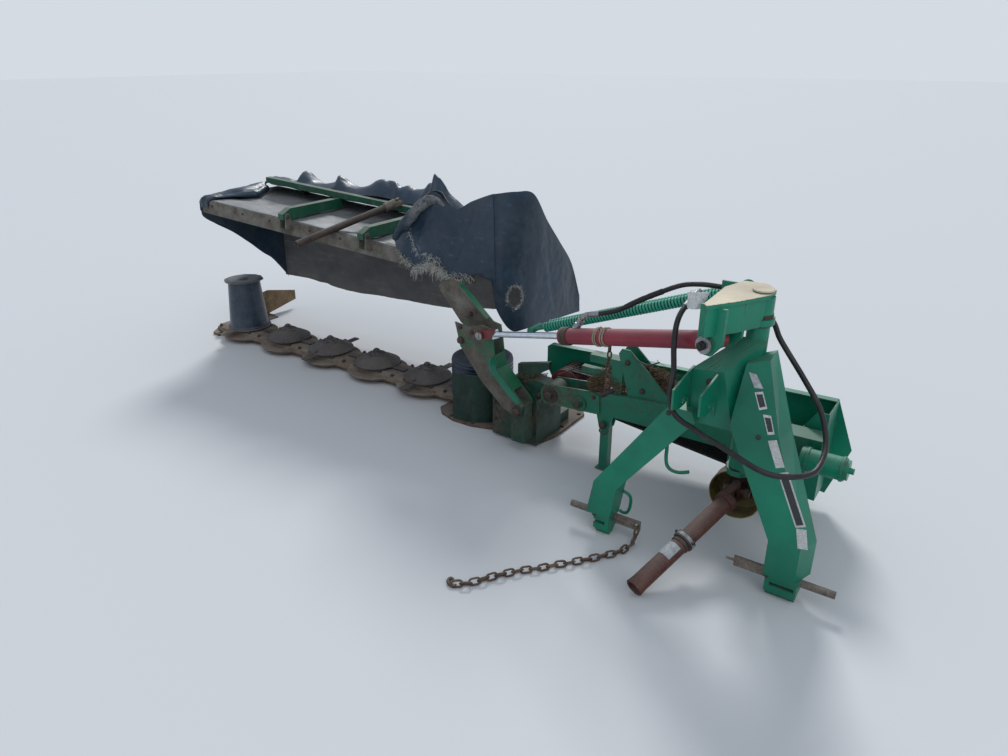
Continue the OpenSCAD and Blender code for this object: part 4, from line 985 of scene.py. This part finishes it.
# rows of the end lapped over the outer corner of the rail: y, reach, lift and low side
LAP_ROWS = ((-0.0115, -2.13, 0.0, -0.05), (-0.01, -2.126, 0.003, -0.01), (0.02, -2.118, 0.012, 0.006),
            (0.09, -2.085, 0.022, 0.006), (0.19, -2.02, 0.042, 0.006), (0.28, -1.985, 0.05, 0.006),
            (0.36, -2.03, 0.05, 0.006), (0.444, -2.072, 0.046, 0.012))
LAP_SECTION = ((0.25, 0.75), (0.55, 1.0), (0.8, 0.72), (0.94, 0.66), (1.0, 0.34), (0.97, 0.06))


def deep_fold(p, normal, u, v):
    """Folds that run from the tube to the crest."""
    wave = math.sin(u * 34 + 2.4 * math.sin(u * 8) + 4.2 * v) * 0.7 + math.sin(u * 19 - 3.4 * v + 1.0) * 0.3
    fold = 1.3 * (1 - abs(wave)) - 0.1 * math.cos(3 * math.pi * wave) - 0.6
    return Vector((0.034 * math.cos(u * 30 + 3.6 * v), 0.008 * wave,
                   0.021 * fold * math.sin(math.pi * min(1.0, v * 1.15)) ** 0.6))


def folded_sheet():
    rows = [[(x, y, crest * high + near * low + lift) for x, high, low in FOLD_LINE]
            for y, crest, near, lift in FOLD_ROWS]
    rim = lambda u, v: min(1.0, 4 * (1 - v) + 0.05, 0.2 + 3 * v)
    grid = wrinkled(moved(shield_grid(rows, 60, 220), deep_fold), 0.007, 0.2, rim, 6.0)
    grid = wrinkled(grid, 0.0012, 0.045, rim, 2.0)
    sheet_piece("folded_sheet", grid, CANVAS, ["front_curtain"])
    # the lapped end, with its hem rolled under
    rows = []
    for y, reach, lift, low in LAP_ROWS:
        line = [(-2.218, y, -0.075), (-2.214, y, -0.02), (-2.204, y, 0.008 + low * 0.5 if low > 0 else low)]
        line += [(-2.204 + (reach + 2.204) * s, y - 0.004 * math.sin(9 * s), low + lift * h + 0.004)
                 for s, h in LAP_SECTION]
        rows.append(line)
    grid = wrinkled(shield_grid(rows, 70, 64), 0.008, 0.13, lambda u, v: min(1.0, 5 * u, 5 * v), 11.0)
    sheet_piece("folded_end", grid, CANVAS)


# tufts of hay: middle, spread, number of blades and their length
HAY = {"hay_on_beam": ("swing_frame", [((-0.668, 0.468, 0.4), (0.05, 0.04, 0.06), 700, 0.055),
                                       ((-0.57, 0.475, 0.42), (0.06, 0.035, 0.055), 520, 0.055),
                                       ((-0.63, 0.478, 0.44), (0.045, 0.03, 0.07), 420, 0.05)]),
       "hay_behind_beam": ("swing_frame", [((-0.4, 0.488, 0.475), (0.08, 0.03, 0.07), 760, 0.065),
                                           ((-0.31, 0.488, 0.45), (0.07, 0.03, 0.06), 460, 0.055)]),
       "hay_on_gearbox": ("bar", [((-1.14, 0.5, 0.292), (0.07, 0.04, 0.02), 420, 0.05),
                                  ((-1.05, 0.47, 0.368), (0.06, 0.025, 0.015), 260, 0.045),
                                  ((-1.09, 0.62, 0.292), (0.07, 0.04, 0.03), 150, 0.06)])}


def hay():
    """Dry cut grass caught on the frame: bent blades, thick at the middle of each tuft."""
    for name, (body, tufts) in HAY.items():
        shape = Shape()
        number = 0
        for centre, spread, count, reach in tufts:
            for _ in range(count):
                number += 1
                a = noise.noise_vector(Vector((number * 0.611, 2.0, 7.0)))
                b = noise.noise_vector(Vector((number * 0.377, 9.0, 1.0)))
                p = Vector(centre) + Vector((a.x * spread[0], a.y * spread[1], abs(a.z) * spread[2])) * 1.6
                way = Vector((b.x, b.y, b.z * 0.55)).normalized()
                size = reach * (0.5 + 0.7 * abs(a.y + b.x))
                bow = Vector((a.z, b.z, 0.35 - abs(b.x))) * size * 0.5
                blade = [p + way * size * (t - 0.5) + bow * (4 * t * (1 - t) - 0.5) for t in (0, 0.25, 0.5, 0.75, 1)]
                shape.sweep(blade, [0.0004, 0.0014, 0.0016, 0.0013, 0.0003], 3)
        shape.piece(name, body, STRAW, 60)


def bolts(shape, places, axis, size, head=0.65, stub=0.0, washer=True):
    for at in places:
        shape.bolt(at, axis, size, head, stub, washer)


def on_front(y, *places):
    """Points on a plane that faces the front, from x, z pairs."""
    return [(x, y, z) for x, z in places]


def bolt_set():
    """Bolt heads, nuts and washers where the photograph shows them and where such joints have them."""
    frame_bolts, leg_bolts, bar_bolts, lever_bolts = Shape(), Shape(), Shape(), Shape()
    for x, z, size, y in ((-0.9, 0.325, 0.024, 0.4085), (-0.742, 0.322, 0.022, 0.4078)):
        frame_bolts.washer((x, 0.4215, z), FRONT, size * 1.75, size * 0.55, 0.004)
        frame_bolts.bolt((x, y, z), FRONT, size, 0.6, washer=False)
    bolts(frame_bolts, on_front(0.4215, (-0.668, 0.372), (-0.925, 0.3)), FRONT, 0.01)
    bolts(frame_bolts, on_front(0.4435, (-0.441, 0.451), (-0.52, 0.57)), FRONT, 0.013)
    bolts(frame_bolts, on_front(0.5385, (-0.92, 0.3), (-0.92, 0.36), (-0.66, 0.34), (-0.66, 0.37)), BACK, 0.012)
    frame_bolts.piece("frame_bolts", "swing_frame", IRON)
    bolts(leg_bolts, on_front(-0.0455, (-0.125, 0.628), (0.2, 0.625)), FRONT, 0.009, 0.45)
    bolts(leg_bolts, on_front(0.062, (0.262, 0.41), (0.262, 0.45)), (0, 0.2, 1), 0.012, 0.5)
    bolts(leg_bolts, [(0.0, -0.0045, 0.765)], FRONT, 0.014, 0.55)
    bolts(leg_bolts, on_front(-0.0435, (-0.4, 0.09), (0.3, 0.09)), FRONT, 0.008, 0.5, washer=False)
    leg_bolts.piece("leg_bolts", "headstock", IRON)
    bolts(bar_bolts, on_front(0.4405, (-1.235, 0.1), (-1.235, 0.2), (-1.01, 0.25)), FRONT, 0.01)
    bolts(bar_bolts, on_front(0.4405, (-0.972, 0.3), (-1.05, 0.35)), FRONT, 0.012)
    # studs along the front and back edges of the cutterbar's casting, clear of the shoe
    for i in range(DISC_COUNT):
        for dx in (-0.2, -0.1, 0.1):
            x = disc_centre(i, 0).x + dx
            if x < -1.26:
                bolts(bar_bolts, [(x, 0.612, 0.0682)], (0, -0.14, 1), 0.012, 0.6, 0.004)
                bolts(bar_bolts, [(x, 0.794, 0.0655)], (0, 0.3, 1), 0.012, 0.6, 0.004)
    shoe_bolts = (-1.55, 0.47), (-1.4, 0.466), (-1.28, 0.502), (-1.0, 0.52), (-0.985, 0.7), (-0.985, 0.88), (-1.2, 0.9)
    bolts(bar_bolts, [(x, y, 0.0142) for x, y in shoe_bolts], Z, 0.012, 0.5)
    bolts(bar_bolts, [(-3.72, y, 0.0162) for y in (0.66, 0.74, 0.79)], Z, 0.012, 0.5)
    bolts(bar_bolts, [(-1.03, 0.3285, 0.234)], FRONT, 0.026, 0.5)
    bar_bolts.piece("bar_bolts", "bar", IRON)
    bolts(lever_bolts, [(-1.368, 0.3405, 0.53)], FRONT, 0.02, 0.55)
    bolts(lever_bolts, on_front(0.3405, (-1.3, 0.585), (-1.37, 0.6)), FRONT, 0.012)
    bolts(lever_bolts, [(-1.368, 0.4355, 0.53)], BACK, 0.016, 0.5)
    bolts(lever_bolts, [(-1.37, 0.4285, 0.64)], FRONT, 0.013)
    for x in (-1.4, -0.76):
        for off, way in ((-0.0105, -1), (0.0525, 1)):
            lever_bolts.bolt(in_shield(x + off, -0.032, 0.03), X * way, 0.012, 0.5)
    bolts(lever_bolts, [in_shield(x, -0.0043, -0.03) for x in (-2.1, -1.8, -1.55, -1.2, -0.95, -0.5, -0.2)], FRONT,
          0.008, 0.5)
    lever_bolts.piece("lever_bolts", "lever", IRON)
    clip, stand = Shape(), Shape()
    clip.lathe([(0, 0.0185), (0.003, 0.0185)], (-1.212, 0.2765, 0.602), FRONT, 24)
    clip.lathe([(0, 0.0022), (0.034, 0.0022)], (-1.212, 0.272, 0.585), Z, 8)
    clip.piece("rod_pin_clip", "rod", ZINC)
    stand.bolt((-0.612, 0.4175, 0.245), FRONT, 0.018, 0.6)
    stand.bent([(-0.628, 0.434, 0.225), (-0.628, 0.42, 0.21), (-0.6, 0.414, 0.203), (-0.59, 0.43, 0.215)], 5, 0.003, 7)
    stand.piece("stand_bolt", "stand", IRON)


def lever_edge():
    """Turned-out flange along the inner edge of the lever's front plate, where the paint is still clean."""
    shape = Shape()
    face, depth = 0.3412, 0.3
    line = [Vector(p) for p in on_front(0, (-1.0135, 0.285), (-1.082, 0.351), (-1.1545, 0.4235), (-1.1655, 0.468),
                                        (-1.168, 0.488))]
    rings = []
    for i, p in enumerate(line):
        way = heading(line, i)
        out = Vector((way.z, 0, -way.x)) * -0.0065
        rim = depth + 0.012 * (i in (0, 4))
        rings.append([p + Y * face, p + Y * rim, p + out + Y * rim, p + out + Y * face])
    shape.rings(rings)
    shape.piece("lever_edge", "lever", GREEN, 40)


def bent_rods(name, body, material, *lines):
    """Bent rods, each given by its points, steps between them, radius and sides."""
    shape = Shape()
    for line in lines:
        shape.bent(*line)
    shape.piece(name, body, material, 60)


def hooks():
    """A hanger under the left leg of the headstock and a small hook behind it."""
    bent_rods("leg_hooks", "headstock", GREEN, (
        [(-0.156, 0.046, 0.475), (-0.1545, 0.05, 0.44), (-0.155, 0.052, 0.39), (-0.148, 0.052, 0.358),
         (-0.128, 0.05, 0.344), (-0.095, 0.048, 0.345), (-0.058, 0.046, 0.36)], 6, 0.0072, 10), (
        [(-0.318, 0.046, 0.185), (-0.292, 0.054, 0.165), (-0.29, 0.058, 0.12), (-0.3, 0.056, 0.085),
         (-0.318, 0.054, 0.078), (-0.334, 0.052, 0.085)], 6, 0.0065, 10))


def wires():
    """Thin bent wires between the springs and the beam."""
    bent_rods("bent_wires", "swing_frame", IRON, (
        [(-0.5, 0.44, 0.615), (-0.46, 0.42, 0.6), (-0.4, 0.39, 0.605), (-0.34, 0.36, 0.64)], 6, 0.0035, 7), (
        [(-0.86, 0.42, 0.44), (-0.8, 0.4, 0.475), (-0.72, 0.37, 0.53)], 6, 0.003, 7))


def strip(shape, a, b, wide, y):
    """Flat blank plate on the front face of the right leg, between two x, z points."""
    across = Vector((b[1] - a[1], 0, a[0] - b[0])).normalized() * wide / 2
    p, q = Vector((a[0], y, a[1])), Vector((b[0], y, b[1]))
    shape.plate([p - across, p + across, q + across, q - across], FRONT, 0.0006, 0.0014)


def blank_plates():
    """Blank plates and strips down the right leg: white edges round dark fields, with nothing on them."""
    white, dark, grey = Shape(), Shape(), Shape()
    for a, b, wide in (((0.2475, 0.628), (0.287, 0.535), 0.03), ((0.298, 0.52), (0.385, 0.333), 0.036),
                       ((0.388, 0.326), (0.404, 0.25), 0.034)):
        strip(white, a, b, wide, -0.045)
    # dark field inside the longest one
    strip(dark, (0.30148, 0.51252), (0.38152, 0.34048), 0.024, -0.0462)
    # upper part of the leg leans back, so its plates lean with it
    lean = Vector((0, -0.954, 0.298))
    for corners in (((0.157, 0.768), (0.1835, 0.776), (0.21, 0.725), (0.185, 0.714)),
                    ((0.2, 0.704), (0.2265, 0.706), (0.2515, 0.65), (0.23, 0.643))):
        low = [Vector((x, -0.0017 + 0.3124 * (z - 0.7786), z)) for x, z in corners]
        middle = sum(low, Vector()) / 4
        white.plate(low, lean, 0.0006, 0.0016)
        dark.plate([middle + (c - middle) * 0.72 for c in low], lean, 0.0017, 0.0022)
    grey.plate([Vector(c) for c in ((0.122, 0.0195, 0.826), (0.1505, 0.0145, 0.825), (0.183, 0.0005, 0.785),
                                    (0.1535, -0.0005, 0.7815))], lean, 0.001, 0.0028)
    grey.piece("leg_plate", "headstock", LABEL, 30)
    white.piece("leg_strips", "headstock", WHITE, 30)
    dark.piece("leg_strip_fields", "headstock", DARK_FIELD_AND_SHADE, 30, slot="guard_plastic")


def driveline():
    """Collar with its lugs, the split end of the hanging tube and a blank label."""
    base = SHAFT_CENTRE
    axis = (Vector((-0.1, -0.33, 0.026)) - base).normalized()
    collar, lip, label = Shape(), Shape(), Shape()
    collar.lathe([(0.296, 0.035), (0.298, 0.0415), (0.3, 0.0425), (0.324, 0.0425), (0.326, 0.0415), (0.328, 0.035)],
                 base, axis, 40)
    collar.lathe([(0.334, 0.0345), (0.336, 0.0372), (0.342, 0.0372), (0.344, 0.0345)], base, axis, 40)
    for k in range(3):
        d = toward(*square_to(axis), 0.6 + 2.1 * k)
        collar.lathe([(0, 0.006), (0.008, 0.006), (0.009, 0.004)], base + axis * 0.312 + d * 0.0415, d, 12)
    collar.piece("tube_collar", "hanging_shaft", IRON)
    turned_piece("collar_band", "hanging_shaft", ZINC,
                 [(0.305, 0.0428), (0.3055, 0.0434), (0.3185, 0.0434), (0.319, 0.0428)], base, axis, 40)
    # ragged lip, opened out where the tube was knocked
    u, v = upright_to(axis)
    rings = []
    for where, r_out in ((0.565, 0.0335), (0.582, 0.0345), (0.588, 0.0358)):
        rings.append([base + axis * (where + 0.004 * noise.noise(polar(1, t, where) * 3))
                      + toward(u, v, t) * (r_out + 0.0008 * math.sin(3 * t)) for t in turns(48)])
    for where, r_in in ((0.588, 0.031), (0.57, 0.0285)):
        rings.append(circle(base + axis * where, u, v, r_in, 48))
    lip.rings(rings, closed=True)
    lip.piece("tube_lip", "hanging_shaft", TUBE)
    rings = []
    for i in range(13):
        d = toward(u, v, -0.95 + 1.9 * i / 12)
        rings.append([base + axis * w + d * (0.0336 + h)
                      for w, h in ((0.36, 0), (0.425, 0), (0.425, 0.0007), (0.36, 0.0007))])
    label.rings(rings)
    label.piece("tube_label", "hanging_shaft", LABEL, 60)


def half_shaft_yoke():
    """Yoke and cross on the loose half shaft that lies over the shield."""
    a, b = in_shield(-1.064, -0.225, -0.042), in_shield(-0.842, 0.42, 0.143)
    axis = (b - a).normalized()
    u, v = upright_to(axis)
    end = a + axis * 0.632
    cross = end + axis * 0.036
    yoke = Shape()
    yoke.lathe([(-0.06, 0.0215), (-0.055, 0.0265), (-0.008, 0.0285), (0.012, 0.0285), (0.013, 0.018)], end, axis, 28)
    for s in (-1, 1):
        ear = [end + v * s * w + axis * d for w, d in ((0.014, 0.0), (0.028, -0.004), (0.03, 0.034), (0.022, 0.046))]
        yoke.plate(ear, u, -0.013, 0.013)
        yoke.lathe([(0, 0.0155), (0.003, 0.0165), (0.009, 0.0165), (0.011, 0.012)], cross + v * s * 0.0215, v * s, 20)
    for way in (u, v):
        yoke.lathe([(-0.024, 0.008), (0.024, 0.008)], cross, way, 14)
    for s in (-1, 1):
        yoke.lathe([(0.016, 0.0105), (0.0245, 0.0105), (0.0255, 0.008)], cross, u * s, 16)
    yoke.piece("half_shaft_yoke", "lever", WORN)


def cone_yoke():
    """Bearing caps of the cross inside the flared guard of the input shaft."""
    shape = Shape()
    for s in (-1, 1):
        shape.lathe([(0, 0.0165), (0.004, 0.0185), (0.009, 0.0185), (0.0105, 0.014)],
                    SHAFT_CENTRE + X * s * 0.044, X * s, 22)
    shape.piece("cross_caps", "swing_frame", WORN)


def disc_tops():
    """Hub plates, screws and worn rims on the discs, with the knife bolts below."""
    for i in range(DISC_COUNT):
        centre = disc_centre(i, 0.084)
        plain_disc = 0 < i < DISC_COUNT - 1
        shape = Shape()
        if plain_disc:
            shape.lathe([(0.0605, 0.029), (0.063, 0.031), (0.067, 0.0305), (0.069, 0.026)], centre, Z, 28)
            shape.bolt(centre + Z * 0.069, Z, 0.024, 0.55, 0.004, washer=False)
            bolts(shape, [centre + polar(0.046, k * math.pi / 3 + i, 0.0548) for k in range(6)], Z, 0.009, 0.5,
                  washer=False)
        elif i == 0:
            shape.lathe([(0.2215, 0.06), (0.2235, 0.062), (0.2295, 0.061), (0.231, 0.05)], centre, Z, 32)
            bolts(shape, [centre + polar(0.1, k * math.pi / 3 + 0.3, 0.2205) for k in range(6)], Z, 0.01, 0.5)
        else:
            shape.lathe([(0.3295, 0.03), (0.333, 0.03), (0.336, 0.024)], centre, Z, 24)
        for s in (0, math.pi):
            spot = centre + polar(0.125, i % 2 * math.pi / 2 + s)
            shape.lathe([(-0.0095, 0.011), (-0.0085, 0.014), (-0.0052, 0.014)], spot, Z, 18)
            if plain_disc:
                shape.lathe([(0.0165, 0.0125), (0.0225, 0.0115), (0.0245, 0.007)], spot - Z * 0.0015, Z, 18)
        shape.piece(f"disc_fittings_{i + 1}", f"disc_{i + 1}", DISC if plain_disc else IRON, slot="disc_iron")


def cone_rim():
    """Torn sheet-metal rim on the cone of the last disc."""
    centre = disc_centre(DISC_COUNT - 1, 0.0)
    rings = [[], [], [], []]
    for t in turns(72):
        d = polar(1, t)
        ragged = 0.008 * noise.noise(d * 4.2) + 0.003 * noise.noise(d * 14)
        z = 0.4105 + 0.006 * noise.noise(d * 3 + Vector((4, 0, 0)))
        corners = (0.1265 + ragged, 0), (0.1275 + ragged, 0.0022), (0.11, 0.0038), (0.11, 0.001)
        for ring, (radius, lift) in zip(rings, corners):
            ring.append(centre + d * radius + Vector((0, 0, z + lift)))
    shape = Shape()
    shape.rings(rings, closed=True)
    shape.piece("cone_rim", "disc_6", WORN, 60, slot="disc_iron")


def guard_fittings():
    """Belt tightener spring and bent rod seen through the opening of the belt guard."""
    shape = Shape()
    shape.coil((0.225, 0.551, 0.417), (0.3, 0.551, 0.397), 0.011, 0.0022, 12, 12, 6)
    shape.bent([(0.147, 0.536, 0.405), (0.175, 0.535, 0.392), (0.2, 0.535, 0.39), (0.225, 0.538, 0.412)], 6, 0.005, 8)
    shape.piece("tightener", "swing_frame", WORN, 60)


FLOOR_HALF = 60.0
FLOOR_COLOUR = (0.6, 0.61, 0.62)
SKY_LIGHT, SKY_STRENGTH = (0.78, 0.87, 1.0, 1), 0.6
SKY_SEEN = (0.66, 0.71, 0.77, 1)
# a broad soft sun from behind, as in the photograph, and a weak one from the camera's side: place, spread, power
SUNS = {"key": ((-2.6, 4.6, 4.2), 16.0, 2.1), "fill": ((4.0, -3.0, 5.0), 40.0, 0.5)}


def make_stage():
    mesh = bpy.data.meshes.new("floor")
    mesh.from_pydata([(x * FLOOR_HALF, y * FLOOR_HALF, 0) for x, y in ((-1, -1), (1, -1), (1, 1), (-1, 1))], [],
                     [(0, 1, 2, 3)])
    floor = linked("floor", mesh)
    floor.location.z = -0.0005
    mesh.materials.append(Nodes("floor").finish(FLOOR_COLOUR, 0.95))
    world = bpy.data.worlds.new("studio")
    bpy.context.scene.world = world
    world.use_nodes = True
    nodes, links = world.node_tree.nodes, world.node_tree.links
    light = nodes["Background"]
    # what the camera sees behind the floor is pale, without more light on the machine
    seen = nodes.new("ShaderNodeBackground")
    for node, colour, strength in ((light, SKY_LIGHT, SKY_STRENGTH), (seen, SKY_SEEN, 1.0)):
        node.inputs["Color"].default_value = colour
        node.inputs["Strength"].default_value = strength
    mix = nodes.new("ShaderNodeMixShader")
    links.new(nodes.new("ShaderNodeLightPath").outputs["Is Camera Ray"], mix.inputs[0])
    links.new(light.outputs[0], mix.inputs[1])
    links.new(seen.outputs[0], mix.inputs[2])
    links.new(mix.outputs[0], nodes["World Output"].inputs[0])
    for name, (place, spread, power) in SUNS.items():
        data = bpy.data.lights.new(name, "SUN")
        data.angle = math.radians(spread)
        data.energy = power
        lamp = linked(name, data)
        lamp.location = place
        lamp.rotation_euler = (-Vector(place)).to_track_quat("-Z", "Y").to_euler()


for build in (make_stage, lift_hose, chain, dress_nodes, springs, belts, barrel_details, head_details, top_sheet,
              rear_sheet, outer_sheet, flap, folded_sheet, hay, bolt_set, lever_edge, hooks, blank_plates, driveline,
              half_shaft_yoke, cone_yoke, disc_tops, cone_rim, guard_fittings, wires):
    build()
bpy.context.scene.view_settings.view_transform = "Standard"
